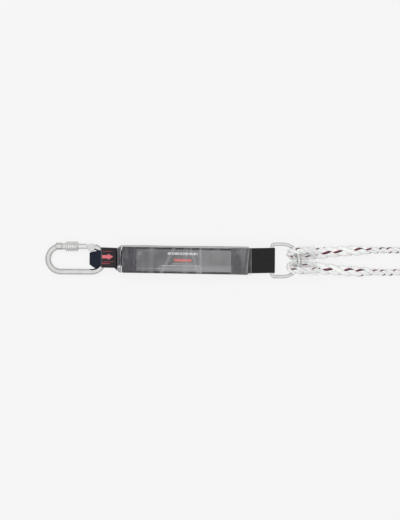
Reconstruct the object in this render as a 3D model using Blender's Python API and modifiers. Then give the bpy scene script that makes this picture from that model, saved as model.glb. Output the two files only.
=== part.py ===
"""Twin shock-absorbing lanyard: a screw-gate carabiner, a folded tear-webbing absorber in a clear cover, a
welded D-ring and two spliced rope legs, each folded into a tied hank and ending in a double-action hook.
It lies flat on the ground plane z = 0, along X, with the origin under the middle of carabiner to D-ring."""

import math

import bmesh
import bpy
from mathutils import Matrix, Vector

MM = 0.001
GAP = 0.3  # between neighbouring pieces that touch or are sewn together
WELD = 1e-6  # metres

# Carabiner, millimetres
ROD = 10.0
CARABINER_LENGTH = 108.0
CARABINER_WIDTH = 54.4
NOSE_DIAMETER = 12.4
NOSE_PAST_BEND = 2.1  # the nose's end from the left bend's centre
NOSE_LENGTH = 10.9
LATCH_GAP = 0.9  # nose to gate, so that the gate's corner swings clear
LATCH_TONGUE = 4.0  # thickness of the nose's tongue
LATCH_TONGUE_WIDTH = 7.0
LATCH_TONGUE_LENGTH = 5.8
LATCH_PIN = 2.4
LATCH_PIN_INSET = 1.9  # the pin's centre from the gate's end
LATCH_PIN_ROOM = 0.5  # round the pin, in the tongue's notch
GATE_HEAD_LENGTH = 5.6
GATE_BARREL = 9.2
SLEEVE_DIAMETER = 17.0
SLEEVE_LENGTH = 21.4
SLEEVE_RIBS = 20
SLEEVE_RIB_DEPTH = 0.7
SLEEVE_TRAVEL = 9.5
RUNNING_GAP = 0.35  # between the sleeve's bores and the gate
HINGE_RADIUS = 7.0
HINGE_WIDTH = 10.6
HINGE_PAST_BEND = 0.4  # the pivot from the right bend's centre
PIVOT_INSET = 1.9  # pivot nearer the middle than the gate's axis
PIVOT_PIN = 2.8
GATE_TAIL = 3.4  # thickness of the gate's tail between the hinge ears
HINGE_SLOT = 7.0
GATE_SPRING_WIRE = 0.6

# Webbing and absorber pack
WEBBING = 2.0
WEBBING_WIDTH = 44.0
TEAR_WIDTH = 42.5
PACK_OFFSET = -2.3  # of the folded stack's middle, along Y
PACK_LENGTH = 223.0
PACK_FROM_CARABINER = 25.7
PACK_END_MARGIN = 0.8
LAYERS = 5
LAYER_GAP = 0.4
TAIL_LENGTH = 34.0  # sewn length of each loop inside the pack
FILM = 0.5
FILM_CORNER = 1.3
SEAM_WIDTH = 0.8
SEAM_THICKNESS = 1.0
COVER_LEFT_LENGTH = 9.0
COVER_LEFT_WIDTH = 37.6
COVER_RIGHT_LENGTH = 4.2
LABEL_THICKNESS = 0.4
LABEL_FROM_PACK_END = 31.8
LABEL_FROM_PACK_START = 26.2
LABEL_WIDTH = 38.0
BARTACK_ROWS = 8
BARTACK_PITCH = 1.8
BARTACK_WIDTH = 34.0
THREAD_DIAMETER = 0.5

# Loop for the carabiner and its label tab
HARNESS_LOOP_WIDTH = 31.6
HARNESS_LOOP_REACH = 30.6  # past the carabiner's right end, towards its middle
LOOP_LOWER_EDGE = ((0.0, 6.6), (9.7, 0.0), (19.9, 4.7), (70.0, 4.7))  # from the loop's end, inwards
LOOP_UPPER_EDGE = ((0.0, 3.9), (19.9, 0.0))
TAB_SHEET = 0.7
TAB_WIDTH = 36.0
TAB_OFFSET = 2.6  # of its middle, along Y
TAB_START = 9.8  # left of the carabiner's right end
TAB_LENGTH = 25.4

# D-ring
RING_WIRE = 6.0
RING_WIDTH = 62.5
RING_CORNER = 4.7  # bend of the wire's middle line
RING_SIDE = 19.2  # from the bar's middle line to the round end's centre
RING_FROM_PACK = 40.1

# Rope
ROPE = 12.0
SPLICE = 19.0
SPLICE_THROAT = 22.0
RING_SPLICE_LENGTH = 104.0
HOOK_SPLICE_LENGTH = 71.0
EYE_REACH = 16.6  # from the ring's wire to the rope's middle line inside the ring
EYE_TOP_Y = 16.0
EYE_FOOT_Y = 6.8
NECK_SLEEVE_OVERLAP = 1.0  # of the ring's round end
SLEEVE_WALL = 0.8
NECK_SLEEVE_LENGTH = 32.0
NECK_SLEEVE_WIDTH = 52.0
HOOK_SLEEVE_LENGTH = 26.0
HOOK_SLEEVE_WIDTH = 28.0

# Hanks
HANK_START = 672.0  # centre of the fold next to the object, from the carabiner's left end
HANK_RUN = 174.0
RUN_Y = 19.3  # of the legs between the ring and the hanks
HANK_INNER_Y = 13.0
HANK_OUTER_Y = 86.0
HANK_THIRD_Y = 29.5
WAIST_Y = 50.0
WAIST_STEP = 12.6
TIE_WIDTH = 20.0
TIE_SHEET = 1.0
TIE_EASE = 2.2  # sideways room for the runs, which part at the tie's edges
HUMP_HALF = 62.0
HUMP_CLEARANCE = 0.9
ROPE_GAP_LEAST = 0.4

# Double-action hooks
HOOK_PLATE = 11.0
HOOK_EDGE = 2.0
HOOK_Y = 46.0
EYE_WALL = 10.0
EYE_HOLE = 19.0
EYE_OUTSIDE = 39.0
BOW_CENTRE = 152.0  # from the hook's swing axis
BOW_INSIDE = 56.0
BOW_WALL = 17.0
HOOK_FROM_CARABINER = 998.0
CHEEK = 2.0
CHEEK_GAP = 0.4
HOOK_PIVOT = 6.0
RIVET_HEAD = 10.0
RIVET_HEAD_HEIGHT = 1.2
SPRING_POCKET = 14.0
SPRING_POCKET_DEPTH = 4.0
HOOK_SPRING_WIRE = 1.2
GATE_EAR_RADIUS = 9.5
GATE_CHEEK_RADIUS = 8.0
LEVER_CHEEK_RADIUS = 8.0
CHANNEL_WEB = 2.2

# Places worked out from the sizes above
TOTAL = (
    CARABINER_LENGTH
    + PACK_FROM_CARABINER
    + PACK_LENGTH
    + RING_FROM_PACK
    + RING_SIDE
    + RING_WIDTH / 2
)
LEFT = -TOTAL / 2
BEND = (CARABINER_WIDTH - ROD) / 2
CARABINER_Z = SLEEVE_DIAMETER / 2
CARABINER_RIGHT = LEFT + CARABINER_LENGTH
SWING_X = CARABINER_RIGHT - ROD / 2
NOSE_END = LEFT + CARABINER_WIDTH / 2 + NOSE_PAST_BEND
GATE_END = NOSE_END + LATCH_GAP
PIVOT = (CARABINER_RIGHT - CARABINER_WIDTH / 2 - HINGE_PAST_BEND, BEND - PIVOT_INSET)
PACK_START = CARABINER_RIGHT + PACK_FROM_CARABINER
PACK_END = PACK_START + PACK_LENGTH
TEAR_PLY = 2 * WEBBING + GAP
LAYER_PITCH = TEAR_PLY + LAYER_GAP
FIRST_LAYER_Z = FILM + GAP + TEAR_PLY / 2
LAST_LAYER_Z = FIRST_LAYER_Z + (LAYERS - 1) * LAYER_PITCH
LABEL_Z = LAST_LAYER_Z + TEAR_PLY / 2 + GAP
PACK_HEIGHT = LABEL_Z + LABEL_THICKNESS + GAP + FILM
TAIL_OFFSET = (WEBBING + GAP) / 2
BAR_X = PACK_END + RING_FROM_PACK
RING_BEND = (RING_WIDTH - RING_WIRE) / 2
EYE_FOOT_Z = ROPE / 2 + SLEEVE_WALL + GAP + 0.1
RING_EYE_RISE = ROPE / 2 + GAP + RING_WIRE / 2
RING_Z = EYE_FOOT_Z + RING_EYE_RISE
RING_APEX = BAR_X + RING_SIDE + RING_BEND
HOOK_EYE_RISE = ROPE / 2 + GAP + HOOK_PLATE / 2 + 0.6
HOOK_EYE_REACH = EYE_WALL / 2 + ROPE / 2 + 2.6
HOOK_X = LEFT + HOOK_FROM_CARABINER
HOOK_Z = EYE_FOOT_Z + HOOK_EYE_RISE
HOOK_TIP = BOW_CENTRE + BOW_INSIDE / 2 + BOW_WALL
HOOK_TILT = math.asin((HOOK_Z - HOOK_PLATE / 2 - 0.1) / HOOK_TIP)


def clear_scene():
    for obj in list(bpy.data.objects):
        bpy.data.objects.remove(obj, do_unlink=True)
    for collection in list(bpy.data.collections):
        bpy.data.collections.remove(collection)


def new_collection(name):
    collection = bpy.data.collections.new(name)
    bpy.context.scene.collection.children.link(collection)
    return collection


clear_scene()
PARTS = new_collection("twin_lanyard")


def material(name, colour, roughness, metallic=0.0, alpha=1.0):
    made = bpy.data.materials.new(name)
    made.use_nodes = True
    shader = made.node_tree.nodes["Principled BSDF"]
    shader.inputs["Base Color"].default_value = (*colour, 1.0)
    shader.inputs["Roughness"].default_value = roughness
    shader.inputs["Metallic"].default_value = metallic
    shader.inputs["Alpha"].default_value = alpha
    return made


# Small modelling helpers; all of them take millimetres

def scaled(points):
    return [Vector(p) * MM for p in points]


def add_object(name, data):
    obj = bpy.data.objects.new(name, data)
    PARTS.objects.link(obj)
    return obj


def from_bmesh(name, bm):
    mesh = bpy.data.meshes.new(name)
    bm.to_mesh(mesh)
    bm.free()
    return add_object(name, mesh)


def baked(obj):
    """The object as a welded mesh with its modifiers applied; a curve object is replaced."""
    bpy.context.view_layer.update()
    graph = bpy.context.evaluated_depsgraph_get()
    mesh = bpy.data.meshes.new_from_object(obj.evaluated_get(graph))
    bm = bmesh.new()
    bm.from_mesh(mesh)
    bmesh.ops.remove_doubles(bm, verts=bm.verts, dist=WELD)
    bmesh.ops.recalc_face_normals(bm, faces=bm.faces)
    bm.to_mesh(mesh)
    bm.free()
    mesh.transform(obj.matrix_world)
    name = obj.name
    bpy.data.objects.remove(obj, do_unlink=True)
    mesh.name = name
    return add_object(name, mesh)


def combine(target, other, operation):
    """Cuts, joins or intersects target with other, which is used up."""
    change = target.modifiers.new(operation.lower(), "BOOLEAN")
    change.operation = operation
    change.use_self = operation == "UNION"
    change.object = other
    result = baked(target)
    bpy.data.objects.remove(other, do_unlink=True)
    return result


def cut(target, *others):
    for other in others:
        target = combine(target, other, "DIFFERENCE")
    return target


def join(target, *others):
    for other in others:
        target = combine(target, other, "UNION")
    return target


def box(name, low, high):
    bm = bmesh.new()
    bmesh.ops.create_cube(bm, size=1.0)
    low, high = Vector(low) * MM, Vector(high) * MM
    size = high - low
    bmesh.ops.scale(bm, vec=size, verts=bm.verts)
    bmesh.ops.translate(bm, vec=(low + high) / 2, verts=bm.verts)
    return from_bmesh(name, bm)


TURN_TO = {
    "X": Matrix.Rotation(math.pi / 2, 4, "Y"),
    "Y": Matrix.Rotation(-math.pi / 2, 4, "X"),
    "Z": Matrix.Identity(4),
}


def cylinder(name, radius, length, middle, axis="Z", segments=32):
    bm = bmesh.new()
    bmesh.ops.create_cone(
        bm,
        cap_ends=True,
        segments=segments,
        radius1=radius * MM,
        radius2=radius * MM,
        depth=length * MM,
        matrix=Matrix.Translation(Vector(middle) * MM) @ TURN_TO[axis],
    )
    return from_bmesh(name, bm)


def turned(name, profile, at, axis="Z", steps=32):
    """A profile of (radius, height) pairs, top to bottom down its outer side, turned about an axis."""
    bm = bmesh.new()
    verts = [bm.verts.new((r * MM, 0.0, h * MM)) for r, h in profile]
    for a, b in zip(verts, verts[1:]):
        bm.edges.new((a, b))
    if profile[0][0] > 0:
        bm.edges.new((verts[-1], verts[0]))
    obj = from_bmesh(name, bm)
    screw = obj.modifiers.new("turn", "SCREW")
    screw.steps = steps
    screw.render_steps = steps
    screw.use_merge_vertices = True
    screw.merge_threshold = 1e-6
    obj = baked(obj)
    obj.data.transform(Matrix.Translation(Vector(at) * MM) @ TURN_TO[axis])
    return obj


def tube(name, points, radius, resolution=2, radii=None):
    """A round bar along points, with capped ends; radii gives a radius at each point instead."""
    curve = bpy.data.curves.new(name, "CURVE")
    curve.dimensions = "3D"
    curve.bevel_depth = (1.0 if radii else radius) * MM
    curve.bevel_resolution = resolution
    curve.use_fill_caps = True
    spline = curve.splines.new("POLY")
    spline.points.add(len(points) - 1)
    for k, (point, place) in enumerate(zip(spline.points, scaled(points))):
        point.co = (*place, 1.0)
        point.radius = radii[k] if radii else 1.0
    return baked(add_object(name, curve))


def ring_tube(name, points, radius, resolution=2):
    """A closed loop of round wire."""
    curve = bpy.data.curves.new(name, "CURVE")
    curve.dimensions = "3D"
    curve.bevel_depth = radius * MM
    curve.bevel_resolution = resolution
    spline = curve.splines.new("POLY")
    spline.points.add(len(points) - 1)
    for point, place in zip(spline.points, scaled(points)):
        point.co = (*place, 1.0)
    spline.use_cyclic_u = True
    return baked(add_object(name, curve))


def plate(name, outlines, low, high, edge=0.0):
    """A flat plate between two heights; the first outline is its rim and the others are holes."""
    curve = bpy.data.curves.new(name, "CURVE")
    curve.dimensions = "2D"
    curve.fill_mode = "BOTH"
    curve.extrude = ((high - low) / 2 - edge) * MM
    curve.bevel_depth = edge * MM
    curve.bevel_resolution = 0
    curve.offset = -edge * MM
    for outline in outlines:
        spline = curve.splines.new("POLY")
        spline.points.add(len(outline) - 1)
        for point, (x, y) in zip(spline.points, outline):
            point.co = (x * MM, y * MM, 0.0, 1.0)
        spline.use_cyclic_u = True
    obj = add_object(name, curve)
    obj.location.z = (low + high) / 2 * MM
    return baked(obj)


def upright(name, outline, low, high):
    """A plate whose outline is in X and Z, between two places along Y."""
    obj = plate(name, [outline], -high, -low)
    obj.data.transform(Matrix.Rotation(math.pi / 2, 4, "X"))
    return obj


def shell(name, sections, wall):
    """An open sleeve through closed sections of equal count, its wall inwards."""
    bm = bmesh.new()
    rings = [[bm.verts.new(p) for p in scaled(section)] for section in sections]
    for ring, following in zip(rings, rings[1:]):
        for k, vert in enumerate(ring):
            after = (k + 1) % len(ring)
            bm.faces.new((vert, ring[after], following[after], following[k]))
    bm.normal_update()
    bm.faces.ensure_lookup_table()
    face = bm.faces[0]
    middle = sum((v.co for v in rings[0]), Vector()) / len(rings[0])
    if face.normal.dot(face.calc_center_median() - middle) < 0:
        bmesh.ops.reverse_faces(bm, faces=bm.faces)
    obj = from_bmesh(name, bm)
    skin = obj.modifiers.new("wall", "SOLIDIFY")
    skin.thickness = wall * MM
    skin.offset = -1.0
    skin.use_even_offset = True
    return baked(obj)


def arc(centre, radius, start, end, count):
    """Points from one angle to another, in degrees, ends included."""
    angles = [math.radians(start + (end - start) * k / count) for k in range(count + 1)]
    return [(centre[0] + radius * math.cos(a), centre[1] + radius * math.sin(a)) for a in angles]


def strip(line, thickness):
    """The outline of a band of even thickness along a line of 2D points."""
    half = thickness / 2
    sides = ([], [])
    for k, here in enumerate(line):
        before = Vector(line[max(k - 1, 0)])
        after = Vector(line[min(k + 1, len(line) - 1)])
        here = Vector(here)
        first = (here - before).normalized() if k else (after - here).normalized()
        second = (after - here).normalized() if k < len(line) - 1 else first
        along = (first + second).normalized()
        across = Vector((-along.y, along.x)) * half / max(along.dot(first), 0.5)
        sides[0].append(tuple(here + across))
        sides[1].append(tuple(here - across))
    return sides[0] + sides[1][::-1]


def smooth_line(points, spacing):
    """A Catmull-Rom curve through 3D points, sampled about every spacing millimetres."""
    route = [Vector(p) for p in points]
    route = [2 * route[0] - route[1], *route, 2 * route[-1] - route[-2]]
    result = []
    for a, b, c, d in zip(route, route[1:], route[2:], route[3:]):
        count = max(1, round((c - b).length / spacing))
        for k in range(count):
            t = k / count
            result.append(
                0.5 * (2 * b + (c - a) * t + (2 * a - 5 * b + 4 * c - d) * t**2
                       + (3 * b - a - 3 * c + d) * t**3)
            )
    return [*result, route[-2]]


def length_of(points):
    return sum((Vector(b) - Vector(a)).length for a, b in zip(points, points[1:]))


def place(obj, made_of, origin=(0, 0, 0), parent=None):
    """Puts the object's origin at a point of its frame, without moving its shape, and gives it its material."""
    obj.data.transform(Matrix.Translation(-Vector(origin) * MM))
    obj.location = Vector(origin) * MM
    obj.parent = parent
    obj.data.materials.clear()
    obj.data.materials.append(made_of)
    obj.data.shade_smooth()
    obj.data.set_sharp_from_angle(angle=math.radians(35))
    return obj


def empty(name, at, tilt=0.0):
    obj = add_object(name, None)
    obj.location = Vector(at) * MM
    obj.rotation_euler.y = tilt
    return obj


def coil_spring(name, centre, mean_radius, wire, turns, pitch, side=1):
    """An open-coiled torsion spring round a pin along Z."""
    steps = round(turns * 10)
    points = []
    for k in range(steps + 1):
        angle = 2 * math.pi * turns * k / steps
        points.append((
            centre[0] + mean_radius * math.cos(angle),
            centre[1] + side * mean_radius * math.sin(angle),
            centre[2] + pitch * turns * k / steps,
        ))
    return tube(name, points, wire / 2, 0)


def rivet(name, centre, radius, grip, head_radius, head_height, steps=20):
    """A pin with a domed head at each end; the grip is the length between the heads."""
    half = grip / 2
    rim = head_height * 0.4
    profile = [
        (0, half + head_height),
        (head_radius * 0.6, half + head_height * 0.85),
        (head_radius, half + rim),
        (head_radius, half),
        (radius, half),
        (radius, -half),
        (head_radius, -half),
        (head_radius, -half - rim),
        (head_radius * 0.6, -half - head_height * 0.85),
        (0, -half - head_height),
    ]
    return turned(name, profile, centre, "Z", steps)


def superellipse(x, y, low, high, half_width, power=3.5, count=28):
    """A rounded closed section across X, between two heights."""
    middle, rise = (low + high) / 2, (high - low) / 2
    ring = []
    for k in range(count):
        a = 2 * math.pi * k / count
        c, s = math.cos(a), math.sin(a)
        ring.append((
            x,
            y + half_width * math.copysign(abs(c) ** (2 / power), c),
            middle + rise * math.copysign(abs(s) ** (2 / power), s),
        ))
    return ring


def rounded_section(x, left, right, low, high, corner, count=3):
    """A rectangle across X with round corners."""
    ring = []
    for cy, cz, start in (
        (right - corner, high - corner, 0),
        (left + corner, high - corner, 90),
        (left + corner, low + corner, 180),
        (right - corner, low + corner, 270),
    ):
        ring += [(x, y, z) for y, z in arc((cy, cz), corner, start, start + 90, count)]
    return ring


STEEL = material("zinc_plated_steel", (0.78, 0.78, 0.77), 0.3, 1.0)
DARK_STEEL = material("spring_steel", (0.35, 0.35, 0.36), 0.4, 1.0)
NAVY_WEB = material("navy_webbing", (0.02, 0.024, 0.035), 0.8)
BLACK_WEB = material("black_webbing", (0.027, 0.027, 0.028), 0.8)
GREY_WEB = material("grey_webbing", (0.15, 0.14, 0.16), 0.85)
LABEL = material("grey_label", (0.17, 0.165, 0.17), 0.45)
FILM_CLEAR = material("clear_film", (0.85, 0.86, 0.87), 0.15, 0.0, 0.3)
SLEEVE_CLEAR = material("clear_sleeve", (0.8, 0.79, 0.8), 0.3, 0.0, 0.5)
ROPE_WHITE = material("white_rope", (0.85, 0.85, 0.84), 0.8)
THREAD = material("stitch_thread", (0.03, 0.03, 0.03), 0.7)
HOOK_ALLOY = material("hook_alloy", (0.7, 0.7, 0.71), 0.35, 1.0)
TIE_BLACK = material("tie_black", (0.03, 0.03, 0.03), 0.75)


# Carabiner: an oval of round bar, open on the +Y side between its nose and the gate's hinge

def carabiner_body(parent):
    left = LEFT + CARABINER_WIDTH / 2
    right = CARABINER_RIGHT - CARABINER_WIDTH / 2
    line = [(left + NOSE_PAST_BEND / 2, BEND)]
    line += arc((left, 0), BEND, 90, 270, 18)
    line += arc((right, 0), BEND, 270, 448, 18)
    body = tube("carabiner_body", [(x, y, CARABINER_Z) for x, y in line], ROD / 2, 4)
    nose = cylinder(
        "nose", NOSE_DIAMETER / 2, NOSE_LENGTH, (NOSE_END - NOSE_LENGTH / 2, BEND, CARABINER_Z), "X"
    )
    half_tongue = LATCH_TONGUE_WIDTH / 2
    tongue = box(
        "tongue",
        (NOSE_END - 1.0, BEND - half_tongue, CARABINER_Z - LATCH_TONGUE / 2),
        (NOSE_END + LATCH_TONGUE_LENGTH, BEND + half_tongue, CARABINER_Z + LATCH_TONGUE / 2),
    )
    pin_x = GATE_END + LATCH_PIN_INSET
    notch_radius = LATCH_PIN / 2 + LATCH_PIN_ROOM
    notch = cylinder("notch", notch_radius, LATCH_TONGUE * 2, (pin_x, BEND, CARABINER_Z))
    way_in = box(
        "way_in",
        (pin_x - notch_radius - 0.9, BEND - 8, CARABINER_Z - LATCH_TONGUE),
        (pin_x + notch_radius * 0.9, BEND, CARABINER_Z + LATCH_TONGUE),
    )
    hinge = cylinder("hinge", HINGE_RADIUS, HINGE_WIDTH, (*PIVOT, CARABINER_Z))
    slot = box(
        "slot",
        (PIVOT[0] - 16, PIVOT[1] - 12, CARABINER_Z - HINGE_SLOT / 2),
        (PIVOT[0] + HINGE_RADIUS - 0.8, PIVOT[1] + 12, CARABINER_Z + HINGE_SLOT / 2),
    )
    hole = cylinder("hole", PIVOT_PIN / 2 + GAP, 30, (*PIVOT, CARABINER_Z))
    body = join(body, nose, tongue)
    body = cut(body, notch, way_in)
    body = join(body, hinge)
    body = cut(body, slot, hole)
    return place(body, STEEL, (SWING_X, 0, CARABINER_Z), parent)


def carabiner_gate(parent):
    """A barrel with a forked head for the latch pin and a flat tail round the pivot."""
    barrel_end = PIVOT[0] - HINGE_RADIUS - 0.9
    head_end = GATE_END + GATE_HEAD_LENGTH
    fork_end = NOSE_END + LATCH_TONGUE_LENGTH + 0.8
    gate = cylinder(
        "carabiner_gate",
        GATE_BARREL / 2,
        barrel_end - GATE_END,
        ((barrel_end + GATE_END) / 2, BEND, CARABINER_Z),
        "X",
    )
    head = cylinder(
        "head",
        NOSE_DIAMETER / 2,
        GATE_HEAD_LENGTH,
        ((GATE_END + head_end) / 2, BEND, CARABINER_Z),
        "X",
    )
    tail_radius = HINGE_RADIUS - 1.5
    half_tail = GATE_TAIL / 2
    tail = cylinder("tail", tail_radius, GATE_TAIL, (*PIVOT, CARABINER_Z))
    neck = box(
        "neck",
        (barrel_end - 1.0, BEND - 4.0, CARABINER_Z - half_tail),
        (PIVOT[0], PIVOT[1] + tail_radius - 0.4, CARABINER_Z + half_tail),
    )
    fork = box(
        "fork",
        (GATE_END - 1, BEND - LATCH_TONGUE_WIDTH / 2 - 0.5, CARABINER_Z - LATCH_TONGUE / 2 - GAP),
        (fork_end, BEND + NOSE_DIAMETER, CARABINER_Z + LATCH_TONGUE / 2 + GAP),
    )
    pin_x = GATE_END + LATCH_PIN_INSET
    pin_hole = cylinder("pin_hole", LATCH_PIN / 2 + 0.05, 30, (pin_x, BEND, CARABINER_Z))
    pivot_hole = cylinder("pivot_hole", PIVOT_PIN / 2 + 0.1, 30, (*PIVOT, CARABINER_Z))
    gate = join(gate, head, neck, tail)
    gate = cut(gate, fork, pin_hole, pivot_hole)
    return place(gate, STEEL, (*PIVOT, CARABINER_Z), parent)


def screw_sleeve(parent):
    """A grooved sleeve with a wide bore for the nose and gate head, and a narrow one for the barrel."""
    outside = SLEEVE_DIAMETER / 2
    wide = NOSE_DIAMETER / 2 + RUNNING_GAP
    narrow = GATE_BARREL / 2 + RUNNING_GAP
    half = SLEEVE_LENGTH / 2
    step = half - SLEEVE_TRAVEL - 3.0
    profile = [
        (wide, half),
        (outside - 1.2, half),
        (outside, half - 1.2),
        (outside, 1.5),
        (outside - SLEEVE_RIB_DEPTH - 0.3, 0.9),
        (outside - SLEEVE_RIB_DEPTH - 0.3, -0.9),
        (outside, -1.5),
        (outside, -half + 1.2),
        (outside - 1.2, -half),
        (narrow, -half),
        (narrow, step),
        (wide, step + 1.0),
    ]
    start = GATE_END + GATE_HEAD_LENGTH + GAP
    middle = (start + half, BEND, CARABINER_Z)
    sleeve = turned("screw_sleeve", profile, (0, 0, 0), "Z", 40)
    grooves = []
    for k in range(SLEEVE_RIBS):
        angle = 2 * math.pi * (k + 0.5) / SLEEVE_RIBS
        reach = outside + 0.35
        groove = cylinder(
            "groove",
            SLEEVE_RIB_DEPTH,
            SLEEVE_LENGTH - 4.0,
            (reach * math.cos(angle), reach * math.sin(angle), 0),
            "Z",
            8,
        )
        grooves.append(groove)
    for groove in grooves:
        sleeve = cut(sleeve, groove)
    sleeve.data.transform(Matrix.Translation(Vector(middle) * MM) @ Matrix.Rotation(-math.pi / 2, 4, "Y"))
    return place(sleeve, STEEL, middle, parent)


def carabiner(parent):
    carabiner_body(parent)
    carabiner_gate(parent)
    screw_sleeve(parent)
    pin_x = GATE_END + LATCH_PIN_INSET
    latch = cylinder(
        "latch_pin", LATCH_PIN / 2, NOSE_DIAMETER - 1.2, (pin_x, BEND, CARABINER_Z), "Z", 20
    )
    place(latch, STEEL, (pin_x, BEND, CARABINER_Z), parent)
    pivot = rivet(
        "gate_rivet", (*PIVOT, CARABINER_Z), PIVOT_PIN / 2, HINGE_WIDTH + 2 * GAP, 2.6, 0.9
    )
    place(pivot, STEEL, (*PIVOT, CARABINER_Z), parent)
    spring = coil_spring(
        "gate_spring",
        (*PIVOT, CARABINER_Z + GATE_TAIL / 2 + GAP + GATE_SPRING_WIRE / 2),
        PIVOT_PIN / 2 + 1.1,
        GATE_SPRING_WIRE,
        1.0,
        GATE_SPRING_WIRE + 0.1,
    )
    place(spring, DARK_STEEL, (*PIVOT, CARABINER_Z), parent)


# Webbing and the absorber pack

def harness_loop():
    """Navy webbing round the carabiner's right end, its two tails sewn into the pack's first layer."""
    rise = ROD / 2 + GAP + WEBBING / 2
    end_x = CARABINER_RIGHT - HARNESS_LOOP_REACH + rise + WEBBING / 2
    tail_end = PACK_START + TAIL_LENGTH
    low, high = FIRST_LAYER_Z - TAIL_OFFSET, FIRST_LAYER_Z + TAIL_OFFSET
    line = [
        (tail_end, high),
        (PACK_START + 1, high),
        (PACK_START - 3, high + 0.9),
        (CARABINER_RIGHT + 6.0, CARABINER_Z + rise - 1.1),
        (CARABINER_RIGHT + 1.5, CARABINER_Z + rise),
    ]
    line += arc((end_x, CARABINER_Z), rise, 90, 270, 10)
    line += [
        (CARABINER_RIGHT + 3.0, CARABINER_Z - rise),
        (PACK_START, low),
        (tail_end, low),
    ]
    half = HARNESS_LOOP_WIDTH / 2
    band = upright("harness_loop", strip(line, WEBBING), -half, half)
    left = CARABINER_RIGHT - HARNESS_LOOP_REACH
    trims = []
    for side, edge in ((-1, LOOP_LOWER_EDGE), (1, LOOP_UPPER_EDGE)):
        outline = [(left + x, side * (half - inwards)) for x, inwards in edge]
        outline += [(outline[-1][0], side * (half + ROD)), (left - ROD, side * (half + ROD)), (left - ROD, outline[0][1])]
        trims.append(plate("trim", [outline], -ROD, SLEEVE_DIAMETER + ROD))
    return place(cut(band, *trims), NAVY_WEB)


def label_tab():
    """A black sleeve of sheet round the loop's neck, wider at its right end."""
    rise = ROD / 2 + GAP + WEBBING + GAP + TAB_SHEET
    start = CARABINER_RIGHT - TAB_START
    end = start + TAB_LENGTH
    drop = (CARABINER_Z + rise) - 11.6
    top = [
        (start, CARABINER_Z + rise),
        (CARABINER_RIGHT + 3.5, CARABINER_Z + rise),
        (CARABINER_RIGHT + 8.5, CARABINER_Z + rise - 1.3),
        (end, CARABINER_Z + rise - drop * 0.72),
    ]
    bottom = CARABINER_Z - rise
    outer = [*top, (end, bottom), (start, bottom)]
    inner = [(x, z - TAB_SHEET) for x, z in top]
    inner[0] = (start - 2, inner[0][1])
    inner[-1] = (end + 2, inner[-1][1] - 0.8)
    inner += [(end + 2, bottom + TAB_SHEET), (start - 2, bottom + TAB_SHEET)]
    half = TAB_WIDTH / 2
    sleeve = upright("label_tab", outer, TAB_OFFSET - half, TAB_OFFSET + half)
    inside = upright("inside", inner, TAB_OFFSET - half + TAB_SHEET, TAB_OFFSET + half - TAB_SHEET)
    reach = ROD / 2 + GAP
    side_slots = box(
        "side_slots",
        (start - 1, TAB_OFFSET - half - 1, CARABINER_Z - reach),
        (CARABINER_RIGHT + GAP, TAB_OFFSET + half + 1, CARABINER_Z + reach),
    )
    return place(cut(sleeve, inside, side_slots), BLACK_WEB)


def tear_webbing():
    """Two plies woven together and folded to and fro; they tear apart to take up a fall."""
    fold = LAYER_PITCH / 2
    left = PACK_START + PACK_END_MARGIN + fold + TEAR_PLY / 2
    right = PACK_END - PACK_END_MARGIN - fold - TEAR_PLY / 2
    line = [(PACK_START + TAIL_LENGTH + GAP, FIRST_LAYER_Z)]
    for k in range(LAYERS - 1):
        z = FIRST_LAYER_Z + (k + 0.5) * LAYER_PITCH
        if k % 2 == 0:
            line += arc((right, z), fold, -90, 90, 8)
        else:
            line += arc((left, z), fold, 270, 90, 8)
    line.append((PACK_END - TAIL_LENGTH - GAP, LAST_LAYER_Z))
    half = TEAR_WIDTH / 2
    stack = upright("tear_webbing", strip(line, TEAR_PLY), PACK_OFFSET - half, PACK_OFFSET + half)
    return place(stack, GREY_WEB)


def ring_loop():
    """Black webbing round the D-ring's bar, its tails sewn into the pack's last layer."""
    rise = RING_WIRE / 2 + GAP + WEBBING / 2
    low, high = LAST_LAYER_Z - TAIL_OFFSET, LAST_LAYER_Z + TAIL_OFFSET
    line = [(PACK_END - TAIL_LENGTH, high), (PACK_END + 2, high)]
    line.append((PACK_END + 6, high - 0.7))
    line += arc((BAR_X, RING_Z), rise, 86, -100, 12)
    line += [(PACK_END + 5, low - 0.6), (PACK_END + 1, low), (PACK_END - TAIL_LENGTH, low)]
    half = WEBBING_WIDTH / 2
    band = upright("ring_loop", strip(line, WEBBING), -half, half)
    return place(band, BLACK_WEB)


def clear_cover():
    """The pack's film, drawn in over each loop, with a flat welded seam along the +Y side."""
    gap = GAP + FILM
    left, right = PACK_OFFSET - TEAR_WIDTH / 2 - gap, WEBBING_WIDTH / 2 + gap
    end_half = COVER_LEFT_WIDTH / 2
    exit_top = 12.4
    sections = [
        rounded_section(
            PACK_START - COVER_LEFT_LENGTH,
            -end_half,
            end_half,
            0,
            exit_top,
            FILM_CORNER,
        ),
        rounded_section(
            PACK_START - COVER_LEFT_LENGTH / 2, left + 2.0, right - 2.0, 0, PACK_HEIGHT - 7, FILM_CORNER
        ),
        rounded_section(PACK_START, left, right, 0, PACK_HEIGHT, FILM_CORNER),
        rounded_section(PACK_END, left, right, 0, PACK_HEIGHT, FILM_CORNER),
        rounded_section(
            PACK_END + COVER_RIGHT_LENGTH,
            left,
            right,
            LAST_LAYER_Z - TAIL_OFFSET - WEBBING / 2 - FILM - 1.6,
            PACK_HEIGHT,
            FILM_CORNER,
        ),
    ]
    cover = shell("clear_cover", sections, FILM)
    seam_z = PACK_HEIGHT * 0.8
    seam = box(
        "seam",
        (PACK_START + 1, right - FILM / 2, seam_z - SEAM_THICKNESS / 2),
        (PACK_END - 1, right + SEAM_WIDTH, seam_z + SEAM_THICKNESS / 2),
    )
    return place(join(cover, seam), FILM_CLEAR)


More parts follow.
